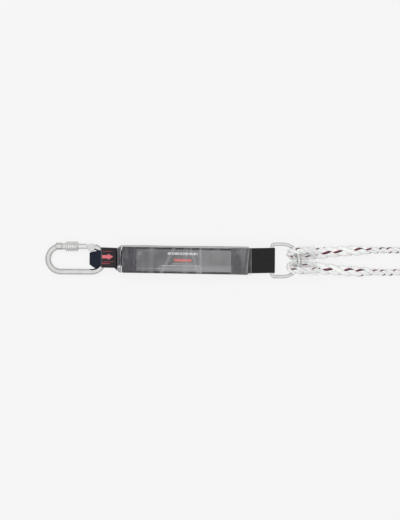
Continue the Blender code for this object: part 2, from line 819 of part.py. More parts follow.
def label_sheet():
    start = PACK_START + LABEL_FROM_PACK_START
    sheet = box(
        "label_sheet",
        (start, PACK_OFFSET - LABEL_WIDTH / 2, LABEL_Z),
        (PACK_END - LABEL_FROM_PACK_END, PACK_OFFSET + LABEL_WIDTH / 2, LABEL_Z + LABEL_THICKNESS),
    )
    return place(sheet, LABEL)


def bartack(name, first_x, z, width):
    """A zigzag of thread across a loop's tails."""
    points = []
    for k in range(BARTACK_ROWS):
        y = width / 2 if k % 2 else -width / 2
        points.append((first_x + k * BARTACK_PITCH, PACK_OFFSET + y, z))
    return place(tube(name, points, THREAD_DIAMETER / 2, 0), THREAD)


# D-ring

def d_ring(parent):
    reach = RING_SIDE
    straight = RING_BEND - RING_CORNER
    line = arc((BAR_X + RING_CORNER, -straight), RING_CORNER, 180, 270, 5)
    line += arc((BAR_X + reach, 0), RING_BEND, -90, 90, 26)
    line += arc((BAR_X + RING_CORNER, straight), RING_CORNER, 90, 180, 5)
    ring = ring_tube("d_ring", [(x, y, RING_Z) for x, y in line], RING_WIRE / 2, 3)
    return place(ring, STEEL, (BAR_X, 0, RING_Z), parent)


# Rope legs; side is +1 for the leg on the +Y side and -1 for its mirror image

def ring_eye(name, side):
    """The rope's eye over and under the ring's wire, closed by its splice."""
    foot, top = EYE_FOOT_Z, EYE_FOOT_Z + 2 * RING_EYE_RISE
    inside = RING_APEX - EYE_REACH
    bend = 9.6
    throat = RING_APEX + 34.0
    line = [
        (throat + 4, 10.0, foot + 3.0),
        (throat - 8, 8.6, foot + 0.6),
        (RING_APEX + 4, EYE_FOOT_Y, foot),
    ]
    for side_step, z in arc((0, RING_Z), RING_EYE_RISE, -90, 90, 8):
        t = (z - foot) / (top - foot)
        x = inside + bend - bend * side_step / RING_EYE_RISE
        line.append((x, EYE_FOOT_Y + (EYE_TOP_Y - EYE_FOOT_Y) * t, z))
    line += [
        (RING_APEX + 4, EYE_TOP_Y + 0.3, top - 0.2),
        (throat - 10, EYE_TOP_Y - 0.2, top - 5.2),
        (throat + 4, EYE_TOP_Y - 1.6, foot + 8.5),
    ]
    line = smooth_line(line, 9.0)
    eye = tube(name, [(x, side * y, z) for x, y, z in line], ROPE / 2, 3)
    start = RING_APEX + 32.0
    length = RING_SPLICE_LENGTH
    route = [
        (start, 13.2, foot + 5.2),
        (start + 0.14 * length, 14.4, foot + 4.4),
        (start + 0.3 * length, 15.9, SPLICE / 2 + 0.8),
        (start + 0.55 * length, 17.8, SPLICE / 2 + 0.3),
        (start + 0.8 * length, 18.8, SPLICE / 2 - 0.4),
        (start + 0.9 * length, 19.1, ROPE / 2 + 0.4),
        (start + length, RUN_Y, ROPE / 2),
    ]
    radii = [SPLICE_THROAT / 2, 10.6, SPLICE / 2, SPLICE / 2, SPLICE / 2 - 0.9, ROPE / 2 + 0.3, ROPE / 2]
    splice = tube("splice", [(x, side * y, z) for x, y, z in route], 0, 3, radii)
    return place(join(eye, splice), ROPE_WHITE)


RING_SPLICE_END = RING_APEX + 32.0 + RING_SPLICE_LENGTH
FOLD_X = LEFT + HANK_START
FOLD_END_X = FOLD_X + HANK_RUN
WAIST_X = FOLD_X + HANK_RUN / 2
HANK_OUT_X = FOLD_END_X + 56.0
CROSS_X = FOLD_END_X + 31.5
RUN_END_X = FOLD_X - 24.0


def run_route():
    """The rope between the ring's splice and the hank."""
    return [
        (RING_SPLICE_END + GAP, RUN_Y, ROPE / 2),
        (RING_SPLICE_END + 14, RUN_Y + 0.2, ROPE / 2),
        (RING_SPLICE_END + 40, RUN_Y + 0.1, ROPE / 2),
        (RUN_END_X - 12, 17.4, ROPE / 2),
        (RUN_END_X, 16.4, ROPE / 2),
    ]


def hank_route():
    """Three runs and two folds on the ground, drawn in at the waist, then out over the far fold."""
    runs = (HANK_INNER_Y, HANK_OUTER_Y, HANK_THIRD_Y)
    waists = (WAIST_Y - WAIST_STEP, WAIST_Y + WAIST_STEP, WAIST_Y)
    rest = ROPE / 2
    at_tie = TIE_SHEET + GAP + ROPE / 2 + 0.1

    def along(run, waist, t):
        draw = math.sin(math.pi * t) ** 2
        return run + (waist - run) * draw, rest + (at_tie - rest) * draw**2

    points = [(RUN_END_X + GAP, 16.4, rest), (RUN_END_X + 10, 15.1, rest)]
    steps = 8
    for k in range(steps + 1):
        y, z = along(runs[0], waists[0], k / steps)
        points.append((FOLD_X + HANK_RUN * k / steps, y, z))
    far = (runs[0] + runs[1]) / 2
    points += [(x, y, rest) for x, y in arc((FOLD_END_X, far), runs[1] - far, -90, 90, 12)[1:]]
    for k in range(1, steps + 1):
        y, z = along(runs[1], waists[1], k / steps)
        points.append((FOLD_END_X - HANK_RUN * k / steps, y, z))
    near = (runs[1] + runs[2]) / 2
    points += [(x, y, rest) for x, y in arc((FOLD_X, near), runs[1] - near, 90, 270, 12)[1:]]
    top = ROPE + HUMP_CLEARANCE
    for k in range(1, steps + 1):
        y, z = along(runs[2], waists[2], k / steps)
        points.append((FOLD_X + HANK_RUN * k / steps, y, z + hump(FOLD_X + HANK_RUN * k / steps, top)))
    for step, y in ((12, 29.9), (24, 31.0), (36, 33.0), (46, 35.2)):
        x = FOLD_END_X + step
        points.append((x, y, rest + hump(x, top)))
    points.append((HANK_OUT_X, 37.6, rest + hump(HANK_OUT_X, top)))
    return points


def hump(x, height):
    """How high the rope rises where it passes over the far fold."""
    t = (x - CROSS_X) / HUMP_HALF
    return height * math.cos(math.pi / 2 * t) ** 2 if abs(t) < 1 else 0.0


def least_gap(points, diameter):
    """The least clear distance between turns of one rope, measured on its points."""
    dense = []
    for a, b in zip(points, points[1:]):
        a, b = Vector(a), Vector(b)
        count = max(1, round((b - a).length / 4))
        dense += [a.lerp(b, k / count) for k in range(count)]
    best = 1e9
    for i, a in enumerate(dense):
        for b in dense[i + 12 :]:
            best = min(best, (a - b).length)
    return best - diameter


def hook_eye(name, side):
    """The end splice and the eye through the hook, over and under its plate."""
    foot, top = EYE_FOOT_Z, EYE_FOOT_Z + 2 * HOOK_EYE_RISE
    throat = HOOK_X - 27.0
    line = [
        (throat - 5, HOOK_Y - 1.0, foot + 6.0),
        (throat + 6, HOOK_Y - 0.6, foot + 2.0),
        (HOOK_X - 8, HOOK_Y, foot + 0.1),
    ]
    for side_step, z in arc((0, HOOK_Z), HOOK_EYE_RISE, -90, 90, 8):
        line.append((HOOK_X + HOOK_EYE_REACH * side_step / HOOK_EYE_RISE, HOOK_Y, z))
    line += [
        (HOOK_X - 7, HOOK_Y, top - 1.2),
        (throat + 5, HOOK_Y - 0.6, top - 8.4),
        (throat - 5, HOOK_Y - 1.0, foot + 11.0),
    ]
    line = smooth_line(line, 8.0)
    eye = tube(name, [(x, side * y, z) for x, y, z in line], ROPE / 2, 3)
    last, out = (Vector(p) for p in hank_route()[-2:])
    leaving = (out - last).normalized()
    start = out + leaving * GAP
    end = throat + 2
    length = end - start.x
    top_z = ROPE + HUMP_CLEARANCE
    third = start.x + 0.36 * length
    route = [
        tuple(start),
        tuple(start + leaving * ROPE),
        (third, HOOK_Y - 4.5, SPLICE / 2 + 0.9 * hump(third, top_z)),
        (start.x + 0.6 * length, HOOK_Y - 2.4, SPLICE / 2 + 1.0),
        (start.x + 0.85 * length, HOOK_Y - 1.0, foot + 3.6),
        (end, HOOK_Y - 0.8, foot + 6.4),
    ]
    radii = [ROPE / 2, ROPE / 2, SPLICE / 2 - 0.6, SPLICE / 2, 9.6, SPLICE_THROAT / 2]
    splice = tube("splice", [(x, side * y, z) for x, y, z in route], 0, 3, radii)
    return place(join(eye, splice), ROPE_WHITE)


def tie(name, side):
    """A flat band round the hank's waist."""
    rope_z = TIE_SHEET + GAP + ROPE / 2 + 0.1
    half = WAIST_STEP + ROPE / 2 + TIE_EASE + TIE_SHEET
    rise = ROPE / 2 + GAP + TIE_SHEET
    sections = []
    for x in (WAIST_X - TIE_WIDTH / 2, WAIST_X + TIE_WIDTH / 2):
        middle = side * WAIST_Y
        sections.append(
            rounded_section(x, middle - half, middle + half, rope_z - rise, rope_z + rise, rise - 1.6, 5)
        )
    return place(shell(name, sections, TIE_SHEET), TIE_BLACK)


def neck_sleeve():
    """A clear shrunk sleeve round both ring eyes' throats."""
    start = RING_APEX - NECK_SLEEVE_OVERLAP
    top = EYE_FOOT_Z + 2 * RING_EYE_RISE + ROPE / 2
    bottom = EYE_FOOT_Z - ROPE / 2 - SLEEVE_WALL - GAP + 0.05
    half = NECK_SLEEVE_WIDTH / 2
    sections = [
        superellipse(start, 0, bottom, top + 3.0, half, 3.6, 32),
        superellipse(start + NECK_SLEEVE_LENGTH * 0.5, 0, bottom, top + 1.4, half, 3.6, 32),
        superellipse(start + NECK_SLEEVE_LENGTH, 0, bottom, top - 3.2, half + 1.0, 3.4, 32),
    ]
    return place(shell("neck_sleeve", sections, SLEEVE_WALL), SLEEVE_CLEAR)


def hook_sleeve(name, side):
    """A clear shrunk sleeve round a hook eye's throat."""
    end = HOOK_X - EYE_WALL / 2 - 5.0
    top = EYE_FOOT_Z + 2 * HOOK_EYE_RISE + ROPE / 2
    bottom = EYE_FOOT_Z - ROPE / 2 - SLEEVE_WALL - GAP + 0.05
    sections = [
        superellipse(end - HOOK_SLEEVE_LENGTH, side * (HOOK_Y - 0.8), bottom, 27.5, 13.0, 2.6, 24),
        superellipse(end - HOOK_SLEEVE_LENGTH / 2, side * (HOOK_Y - 0.5), bottom, top - 2.6, 12.2, 2.8, 24),
        superellipse(end, side * HOOK_Y, bottom, top + 2.2, 11.4, 3.0, 24),
    ]
    return place(shell(name, sections, SLEEVE_WALL), SLEEVE_CLEAR)


# Double-action hook, drawn from its swing axis: u along the hook, v towards its spine

GATE_PIVOT = (62.0, -9.0)
LEVER_PIVOT = (40.0, 2.5)
GATE_TIP = (149.0, -29.6)


def hook_outline():
    bow = (BOW_CENTRE, 0.0)
    inside, outside = BOW_INSIDE / 2, BOW_INSIDE / 2 + BOW_WALL
    eye = (EYE_OUTSIDE / 2 - EYE_WALL / 2, 0.0)
    nose_angle = math.radians(-92)
    middle = (inside + outside) / 2
    nose = (bow[0] + middle * math.cos(nose_angle), middle * math.sin(nose_angle))
    rim = arc(eye, EYE_OUTSIDE / 2, 50, 310, 20)
    rim += [(38, -9.5), (49, -11.5)]
    rim += arc(GATE_PIVOT, GATE_EAR_RADIUS, -150, 20, 8)
    rim += [(78, 0.5), (90, 6.0), (106, 10.5), (120, 13.5)]
    rim += arc(bow, inside, 148, -86, 26)
    rim += arc(nose, BOW_WALL / 2, 92, 268, 7)[1:-1]
    rim += arc(bow, outside, -90, 122, 26)
    rim += [(112, 35.0), (94, 28.0), (74, 20.5), (56, 14.0), (42, 10.5)]
    hole = arc((EYE_WALL / 2 + EYE_HOLE / 2, 0.0), EYE_HOLE / 2, 0, 345, 23)
    return rim, hole


def sided(points, side):
    return [(x, side * y) for x, y in points]


def hook_body(name, side, parent):
    rim, hole = hook_outline()
    half = HOOK_PLATE / 2
    body = plate(name, [sided(rim, side), sided(hole, side)], -half, half, HOOK_EDGE)
    pivots = (GATE_PIVOT, LEVER_PIVOT)
    for pivot in pivots:
        x, y = pivot[0], side * pivot[1]
        body = cut(body, cylinder("hole", HOOK_PIVOT / 2 + 0.1, 40, (x, y, 0), "Z", 24))
    for pivot in pivots:
        x, y = pivot[0], side * pivot[1]
        depth = SPRING_POCKET_DEPTH
        pocket = cylinder("pocket", SPRING_POCKET / 2, depth * 2, (x, y, half), "Z", 28)
        body = cut(body, pocket)
    return place(body, HOOK_ALLOY, (0, 0, 0), parent)


def channel(name, side, outline, web, pivot, parent):
    """Two cheeks beside the hook's plate, joined along one edge by a web."""
    inner = HOOK_PLATE / 2 + CHEEK_GAP
    outer = inner + CHEEK
    made = plate(name, [sided(outline, side)], -outer, outer)
    made = cut(made, plate("between", [sided(grown(outline, 3.0), side)], -inner, inner))
    made = join(made, plate("web", [sided(web, side)], -inner - CHEEK / 2, inner + CHEEK / 2))
    hole = cylinder(
        "hole", HOOK_PIVOT / 2 + 0.1, 60, (pivot[0], side * pivot[1], 0), "Z", 24
    )
    made = cut(made, hole)
    return place(made, STEEL, (pivot[0], side * pivot[1], 0), parent)


def grown(outline, by):
    """The outline's box, larger by a margin on every side."""
    xs, ys = [p[0] for p in outline], [p[1] for p in outline]
    low, high = (min(xs) - by, min(ys) - by), (max(xs) + by, max(ys) + by)
    return [low, (high[0], low[1]), high, (low[0], high[1])]


def hook_gate(name, side, parent):
    pivot, tip = Vector(GATE_PIVOT), Vector(GATE_TIP)
    along = (tip - pivot).normalized()
    across = Vector((-along.y, along.x))
    start = math.degrees(math.atan2(along.y, along.x))
    outline = arc(GATE_PIVOT, GATE_CHEEK_RADIUS, start + 60, start + 300, 10)
    ends = [(14.0, -6.6), (82.0, -6.0), (91.0, -4.0), (93.0, 0.0), (92.0, 5.4), (20.0, 6.4)]
    outline += [tuple(pivot + along * a + across * b) for a, b in ends]
    web = [(20.0, 3.2), (91.6, 3.0), (91.8, 5.2), (20.5, 5.9)]
    web = [tuple(pivot + along * a + across * b) for a, b in web]
    return channel(name, side, outline, web, GATE_PIVOT, parent)


def hook_lever(name, side, parent):
    outline = [
        (33.0, 6.0), (32.2, 1.0), (35.5, -4.2), (44.0, -5.2), (49.0, -9.8), (52.2, -8.6), (51.0, -3.0),
        (49.0, 5.5), (56.0, 14.5), (66.0, 22.5), (82.0, 30.5), (100.0, 37.8), (103.0, 41.5), (100.0, 43.6),
        (80.0, 36.6), (62.0, 28.6), (48.0, 19.0), (38.0, 10.4),
    ]
    web = [(60.0, 25.4), (80.0, 34.2), (100.0, 41.2), (100.0, 43.2), (80.0, 36.4), (59.0, 27.0)]
    return channel(name, side, outline, web, LEVER_PIVOT, parent)


def hook(letter, side):
    parent = empty(f"hook_{letter}_axis", (HOOK_X, side * HOOK_Y, HOOK_Z), HOOK_TILT)
    hook_body(f"hook_{letter}_body", side, parent)
    hook_gate(f"hook_{letter}_gate", side, parent)
    hook_lever(f"hook_{letter}_lever", side, parent)
    grip = HOOK_PLATE + 2 * (CHEEK_GAP + CHEEK + GAP)
    floor = HOOK_PLATE / 2 - SPRING_POCKET_DEPTH + GAP + HOOK_SPRING_WIRE / 2
    for part, pivot in (("gate", GATE_PIVOT), ("lever", LEVER_PIVOT)):
        centre = (pivot[0], side * pivot[1], 0)
        pin = rivet(
            f"hook_{letter}_{part}_rivet", centre, HOOK_PIVOT / 2, grip, RIVET_HEAD / 2, RIVET_HEAD_HEIGHT, 24
        )
        place(pin, STEEL, centre, parent)
        spring = coil_spring(
            f"hook_{letter}_{part}_spring",
            (centre[0], centre[1], floor),
            HOOK_PIVOT / 2 + 1.6,
            HOOK_SPRING_WIRE,
            1.8,
            HOOK_SPRING_WIRE + 0.15,
            side,
        )
        place(spring, DARK_STEEL, centre, parent)


def rope_leg(letter, side):
    ring_eye(f"ring_eye_{letter}", side)
    run = smooth_line(run_route(), 26.0)
    place(tube(f"rope_run_{letter}", sided3(run, side), ROPE / 2, 2), ROPE_WHITE)
    hank = hank_route()
    place(tube(f"rope_hank_{letter}", sided3(hank, side), ROPE / 2, 1), ROPE_WHITE)
    tie(f"hank_tie_{letter}", side)
    hook_eye(f"hook_eye_{letter}", side)
    hook_sleeve(f"hook_sleeve_{letter}", side)
    gap = least_gap(hank, ROPE)
    cord = length_of(run) + length_of(hank)
    print(f"rope_hank_{letter}: least gap {gap:.2f} mm, wanted over {ROPE_GAP_LEAST}")
    print(f"rope {letter}: {cord:.0f} mm between its splices")


def sided3(points, side):
    return [(p[0], side * p[1], p[2]) for p in points]


def build():
    swing = empty("carabiner_axis", (0, 0, 0))
    carabiner(swing)
    harness_loop()
    label_tab()
    tear_webbing()
    ring_loop()
    label_sheet()
    clear_cover()
    stitch_z = LAST_LAYER_Z + TEAR_PLY / 2 + GAP + THREAD_DIAMETER / 2
    bartack("ring_bartack", PACK_END - 22, stitch_z, BARTACK_WIDTH)
    d_ring(None)
    neck_sleeve()
    for letter, side in (("a", 1), ("b", -1)):
        rope_leg(letter, side)
        hook(letter, side)


build()
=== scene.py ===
"""Looks for the twin shock-absorbing lanyard: bright carabiner and ring, woven webbing, a filmed absorber
pack and two white three-strand rope legs. Sizes are millimetres in the CAD model's frame; MM makes metres."""

import math

import bmesh
import bpy
import numpy as np
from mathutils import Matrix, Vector, noise


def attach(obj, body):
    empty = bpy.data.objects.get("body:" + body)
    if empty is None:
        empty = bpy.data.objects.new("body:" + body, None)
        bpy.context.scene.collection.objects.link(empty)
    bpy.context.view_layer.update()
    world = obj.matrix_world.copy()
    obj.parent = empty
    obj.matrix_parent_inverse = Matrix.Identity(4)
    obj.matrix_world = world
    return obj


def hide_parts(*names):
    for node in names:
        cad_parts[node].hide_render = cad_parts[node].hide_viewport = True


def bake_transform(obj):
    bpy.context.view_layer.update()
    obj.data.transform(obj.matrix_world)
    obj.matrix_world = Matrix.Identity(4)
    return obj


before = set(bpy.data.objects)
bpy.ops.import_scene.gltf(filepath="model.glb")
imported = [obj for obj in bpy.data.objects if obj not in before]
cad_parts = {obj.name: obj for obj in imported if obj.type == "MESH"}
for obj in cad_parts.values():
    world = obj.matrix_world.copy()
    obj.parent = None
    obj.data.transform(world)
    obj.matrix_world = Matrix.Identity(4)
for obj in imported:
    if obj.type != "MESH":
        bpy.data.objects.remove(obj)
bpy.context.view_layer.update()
MM = 0.001

# Camera: straight down, 1.75 mm to a pixel of the photograph
VIEW_HEIGHT = 910.0
VIEW_CENTRE = (47.4, -0.2)
VIEW_LEVEL = 12.0
VIEW_TURN = 0.4
CAMERA_ABOVE = 3000.0
SENSOR = 36.0
CLIP_END = 20.0  # metres

# Carabiner
GAP = 0.3  # between parts that touch or turn
LEFT = -223.625
CARABINER_RIGHT = -115.625
CARABINER_Z = 8.5
ROD = 10.0
RAIL_Y = 22.2
NOSE_END = -194.325
NOSE_LENGTH = 10.9
PIVOT = (-143.225, 20.3)
HINGE_RADIUS = 7.0
SLEEVE_START = -187.525
SLEEVE_LENGTH = 21.4
SLEEVE_RADIUS = 8.5
SLEEVE_BORE = 6.55
SLEEVE_NARROW = 4.95
SLEEVE_STEP = 12.5
SLEEVE_BANDS = 6
SWING_X = -120.625
SWING_BEND_X = (SWING_X + 14.0, SWING_X)  # two X given to bend()

# Absorber pack and its webbing
PACK_START = -89.925
PACK_END = 133.075
PACK_HEIGHT = 25.4
PACK_Y = -1.65
PACK_LEAN = -0.01
PACK_END_MARGIN = 0.8
FIRST_LAYER_Z = 2.95
LAYER_PITCH = 4.7
LAYERS = 5
LAST_LAYER_Z = FIRST_LAYER_Z + (LAYERS - 1) * LAYER_PITCH
TEAR_PLY = 4.3
TEAR_WIDTH = 45.4
WEBBING = 2.0
WEBBING_WIDTH = 44.0
HARNESS_WIDTH = 31.6
HARNESS_REACH = 30.6
TAIL_OFFSET = (WEBBING + GAP) / 2
TAIL_LENGTH = 34.0
FILM = 0.3
MOUTH = 9.0  # the film's length beyond the pack's left end
MOUTH_HALF = 18.8
LABEL_START = PACK_START + 26.2
LABEL_END = PACK_END - 31.8
LABEL_WIDTH = 38.0
TAB_START = CARABINER_RIGHT - 9.8
TAB_LENGTH = 26.3
TAB_WIDTH = 36.0
TAB_Y = 2.6
TAB_SHEET = 0.7

# Ring
BAR_X = 173.175
RING_Z = 16.5
RING_WIRE = 6.0
RING_BEND = 28.25
RING_CORNER = 4.7
RING_SIDE = 19.2
RING_APEX = BAR_X + RING_SIDE + RING_BEND

# Rope
ROPE = 12.0
EYE_ROPE = 13.0
SPLICE = 19.0
THROAT = 22.0
ROPE_PITCH = 38.0
SPLICE_PITCH = 62.0
YARNS = 11.0
YARN_COUNTER_TURN = 3.2
YARN_START = 0.3
ROPE_TO_STRAND = 2.1547  # the rope's radius over a strand's, where three strands touch
STRAND_SWELL = 1.1
STRAND_STEP = 2.4
STRAND_SIDES = 12
EYE_FOOT_Z = 7.2
RING_EYE_RISE = 9.3
RING_SPLICE_START = RING_APEX + 32.0
RING_SPLICE_LENGTH = 104.0
CORD_START_X = 292.0
RING_BEND_X = (CORD_START_X, RING_APEX + 12.0)
RUN_Y = 19.3
FOLD_X = 448.375
HANK_RUN = 174.0
FOLD_END_X = FOLD_X + HANK_RUN
RUN_END_X = FOLD_X - 24.0
HANK_OUT = 56.0
HANK_OUT_X = FOLD_END_X + HANK_OUT
CROSS_X = FOLD_END_X + 31.5
WAIST_X = FOLD_X + HANK_RUN / 2
WAIST_Y = 50.0
WAIST_STEP = 12.6
HANK_RUNS = (13.0, 86.0, 29.5)  # Y of the three runs
HANK_WAISTS = (WAIST_Y - WAIST_STEP, WAIST_Y + WAIST_STEP, WAIST_Y)  # and where the tie holds them
HUMP_HALF = 62.0
HUMP_HEIGHT = ROPE + 0.9
TIE_SHEET = 1.0
TIE_WIDTH = 20.0
TIE_MIDDLE_Z = TIE_SHEET + GAP + ROPE / 2 + 0.1
HOOK_X = 774.375
HOOK_Y = 46.0
HOOK_Z = 19.6
HOOK_EYE_RISE = 12.4
HOOK_EYE_REACH = 13.6
HOOK_THROAT_X = HOOK_X - 27.0
HOOK_BEND_X = (HOOK_X - 42.0, HOOK_X - 6.0)
CLEAR_WALL = 0.7
CLEAR_FOOT = 0.35


def placed(name, data):
    obj = bpy.data.objects.new(name, data)
    bpy.context.scene.collection.objects.link(obj)
    return obj


def look_down():
    data = bpy.data.cameras.new("camera")
    camera = placed("camera", data)
    camera.location = Vector((*VIEW_CENTRE, VIEW_LEVEL + CAMERA_ABOVE)) * MM
    camera.rotation_euler.z = math.radians(VIEW_TURN)
    data.sensor_width = SENSOR
    data.lens = SENSOR * CAMERA_ABOVE / VIEW_HEIGHT
    data.clip_end = CLIP_END
    bpy.context.scene.camera = camera
    bpy.context.scene.view_settings.view_transform = "Standard"


look_down()


# Lines and frames, in millimetres

def smooth(points, spacing):
    """A Catmull-Rom curve through the points, resampled evenly."""
    route = [Vector(p) for p in points]
    route = [2 * route[0] - route[1], *route, 2 * route[-1] - route[-2]]
    line = []
    for a, b, c, d in zip(route, route[1:], route[2:], route[3:]):
        count = max(2, round((c - b).length / spacing))
        for k in range(count):
            t = k / count
            line.append(0.5 * (2 * b + (c - a) * t + (2 * a - 5 * b + 4 * c - d) * t**2
                               + (3 * b - a - 3 * c + d) * t**3))
    line.append(route[-2])
    return evenly(np.array([tuple(p) for p in line]), spacing)


def evenly(line, spacing):
    along = distances(line)
    at = np.linspace(0, along[-1], max(2, round(along[-1] / spacing)) + 1)
    return np.stack([np.interp(at, along, line[:, k]) for k in range(3)], axis=1)


def distances(line):
    return np.concatenate([[0], np.cumsum(np.linalg.norm(np.diff(line, axis=0), axis=1))])


def unit(vectors):
    return vectors / np.maximum(np.linalg.norm(vectors, axis=-1, keepdims=True), 1e-12)


def tangents(line):
    return unit(np.gradient(line, axis=0))


def carried_frames(line):
    """Tangents with two cross directions that turn as little as they can along the line, the first one up."""
    along = tangents(line)
    normal = np.empty_like(line)
    current = np.array([0.0, 0.0, 1.0])
    for k, t in enumerate(along):
        current = current - t * (current @ t)
        current /= np.linalg.norm(current)
        normal[k] = current
    return along, normal, np.cross(along, normal)


def arc(centre, radius, start, end, count):
    angles = [math.radians(start + (end - start) * k / count) for k in range(count + 1)]
    return [(centre[0] + radius * math.cos(a), centre[1] + radius * math.sin(a)) for a in angles]


def circles(line, normal, across, radius, sides):
    """A circle round each point of a line, and the angle at each corner."""
    around = np.linspace(0, 2 * math.pi, sides + 1)
    turn = around[:-1, None]
    circle = np.cos(turn) * normal[:, None] + np.sin(turn) * across[:, None]
    return line[:, None] + radius * circle, around


# Meshes from rings of points; UV holds millimetres along and across, or turns around a strand

def loft(rings, u, v, capped=True):
    """Points, faces and UV corners of a closed tube through rings of equal count."""
    n, m = rings.shape[:2]
    points = rings.reshape(-1, 3)
    v = np.broadcast_to(v, (n, m + 1))
    faces, corners = [], []
    for i in range(n - 1):
        for j in range(m):
            k = (j + 1) % m
            faces.append((i * m + j, i * m + k, (i + 1) * m + k, (i + 1) * m + j))
            corners += [(u[i], v[i, j]), (u[i], v[i, j + 1])]
            corners += [(u[i + 1], v[i + 1, j + 1]), (u[i + 1], v[i + 1, j])]
    if capped:
        for i in (0, n - 1):
            middle = len(points)
            points = np.vstack([points, rings[i].mean(axis=0)])
            for j in range(m):
                faces.append((i * m + j, middle, i * m + (j + 1) % m))
                corners += [(u[i], v[i, j]), (u[i], v[i, j]), (u[i], v[i, j + 1])]
    return points, faces, corners


def piece(name, parts, looks, sharp=40.0):
    """One mesh object from lofts, each with the number of its material."""
    points, faces, corners, slots = [], [], [], []
    for (p, f, c), slot in parts:
        start = len(points)
        points.extend(map(tuple, p * MM))
        faces += [tuple(start + i for i in face) for face in f]
        corners += c
        slots += [slot] * len(f)
    mesh = bpy.data.meshes.new(name)
    mesh.from_pydata(points, [], faces)
    layer = mesh.uv_layers.new(name="lay")
    layer.uv.foreach_set("vector", np.array(corners, np.float32).ravel())
    mesh.polygons.foreach_set("material_index", slots)
    for look in looks:
        mesh.materials.append(look)
    mesh.validate()
    obj = placed(name, mesh)
    tidy_normals(obj, sharp)
    return obj


def settle(obj, slot, *nodes, rides="lanyard"):
    """Hides the CAD nodes a piece replaces and sets it on the one body it rides on; the slot is not used."""
    if nodes:
        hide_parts(*nodes)
    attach(obj, rides)


def bend(obj, body, start, end):
    """The piece's placement baked into its mesh; the body and the two X are not used."""
    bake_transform(obj)


def tidy_normals(obj, sharp):
    """Joined points, faces turned outwards, and smooth shading between sharp edges."""
    bm = bmesh.new()
    bm.from_mesh(obj.data)
    bmesh.ops.remove_doubles(bm, verts=bm.verts, dist=0.000001)
    bmesh.ops.recalc_face_normals(bm, faces=bm.faces)
    bm.to_mesh(obj.data)
    bm.free()
    obj.data.shade_smooth()
    obj.data.set_sharp_from_angle(angle=math.radians(sharp))


# Node helpers

def new_look(name, **sockets):
    look = bpy.data.materials.new(name)
    look.use_nodes = True
    shader = look.node_tree.nodes["Principled BSDF"]
    for socket, value in sockets.items():
        shader.inputs[socket.replace("_", " ")].default_value = value
    return look, look.node_tree, shader


def add(tree, kind, inputs=None, **settings):
    node = tree.nodes.new("ShaderNode" + kind)
    for key, value in settings.items():
        setattr(node, key, value)
    for key, value in (inputs or {}).items():
        if isinstance(value, bpy.types.NodeSocket):
            tree.links.new(value, node.inputs[key])
        else:
            node.inputs[key].default_value = value
    return node


def calc(operation, a, b=0.0, c=0.0, clamp=False):
    """A sum in the node tree of its first value."""
    return add(a.id_data, "Math", {0: a, 1: b, 2: c}, operation=operation, use_clamp=clamp).outputs[0]


def plus(a, b, clamp=False):
    return calc("ADD", a, b, clamp=clamp)


def times(a, b):
    return calc("MULTIPLY", a, b)


def heaped(total, mask, amount):
    """The total with a share of a mask added."""
    return calc("MULTIPLY_ADD", mask, amount, total)


def blend_colours(factor, a, b):
    a, b = (value if isinstance(value, bpy.types.NodeSocket) else (*value, 1.0) for value in (a, b))
    return add(factor.id_data, "Mix", {0: factor, 6: a, 7: b}, data_type="RGBA").outputs[2]


def ramp(value, low, high):
    """0 below low, 1 above high, smooth between."""
    inputs = {"Value": value, "From Min": low, "From Max": high}
    return add(value.id_data, "MapRange", inputs, interpolation_type="SMOOTHSTEP").outputs[0]


def spread(value, low, high):
    """A noise value, about 0.3 to 0.7, spread over a range."""
    inputs = {"Value": value, "From Min": 0.3, "From Max": 0.7, "To Min": low, "To Max": high}
    return add(value.id_data, "MapRange", inputs).outputs[0]


def band(value, low, high, soft):
    """1 between two values, with soft ends."""
    below = ramp(times(value, -1.0), -high - soft, -high + soft)
    return times(ramp(value, low - soft, low + soft), below)


def rectangle(u, v, low, high, soft=0.12):
    """1 inside a rectangle of two values."""
    return times(band(u, low[0], high[0], soft), band(v, low[1], high[1], soft))


def dashes(u, seed, size=1.6, least=0.42):
    """A line broken at uneven places."""
    inputs = {"W": calc("MULTIPLY_ADD", u, 1.0 / size, seed), "Scale": 1.0, "Detail": 1.0}
    cell = add(u.id_data, "TexNoise", inputs, noise_dimensions="1D").outputs[0]
    return ramp(cell, least - 0.03, least + 0.03)


def place_of(tree):
    return add(tree, "TexCoord").outputs["Object"]


def laid(tree):
    """The millimetres along and across, from the mesh's own map."""
    split = add(tree, "SeparateXYZ", {0: add(tree, "UVMap", uv_map="lay").outputs[0]})
    return split.outputs[0], split.outputs[1]


def cloud(tree, scale, detail=2.0, stretch=None):
    where = place_of(tree)
    if stretch:
        where = add(tree, "Mapping", {"Vector": where, "Scale": stretch}).outputs[0]
    return add(tree, "TexNoise", {"Vector": where, "Scale": scale, "Detail": detail}).outputs[0]


def bump(tree, shader, height, distance):
    node = add(tree, "Bump", {"Height": height, "Distance": distance * MM, "Strength": 1.0})
    tree.links.new(node.outputs[0], shader.inputs["Normal"])


# Materials

GLANCING_TINT = (0.1, 0.1, 0.1, 1.0)  # darkens the metals' outlines
WORN = 0.86
CLOTH = {"Roughness": 0.85, "Sheen_Weight": 0.05, "Sheen_Roughness": 0.45, "Specular_IOR_Level": 0.2}
FILAMENT = {"Roughness": 0.62, "Sheen_Weight": 0.15, "Sheen_Roughness": 0.5,
            "Subsurface_Weight": 0.1, "Subsurface_Scale": 0.002}
BLACK_YARN = (0.5, 0.605, (0.012, 0.012, 0.014))
RED_YARN = (0.415, 0.5, (0.24, 0.012, 0.055))
PRINT_WHITE = (0.72, 0.71, 0.72)


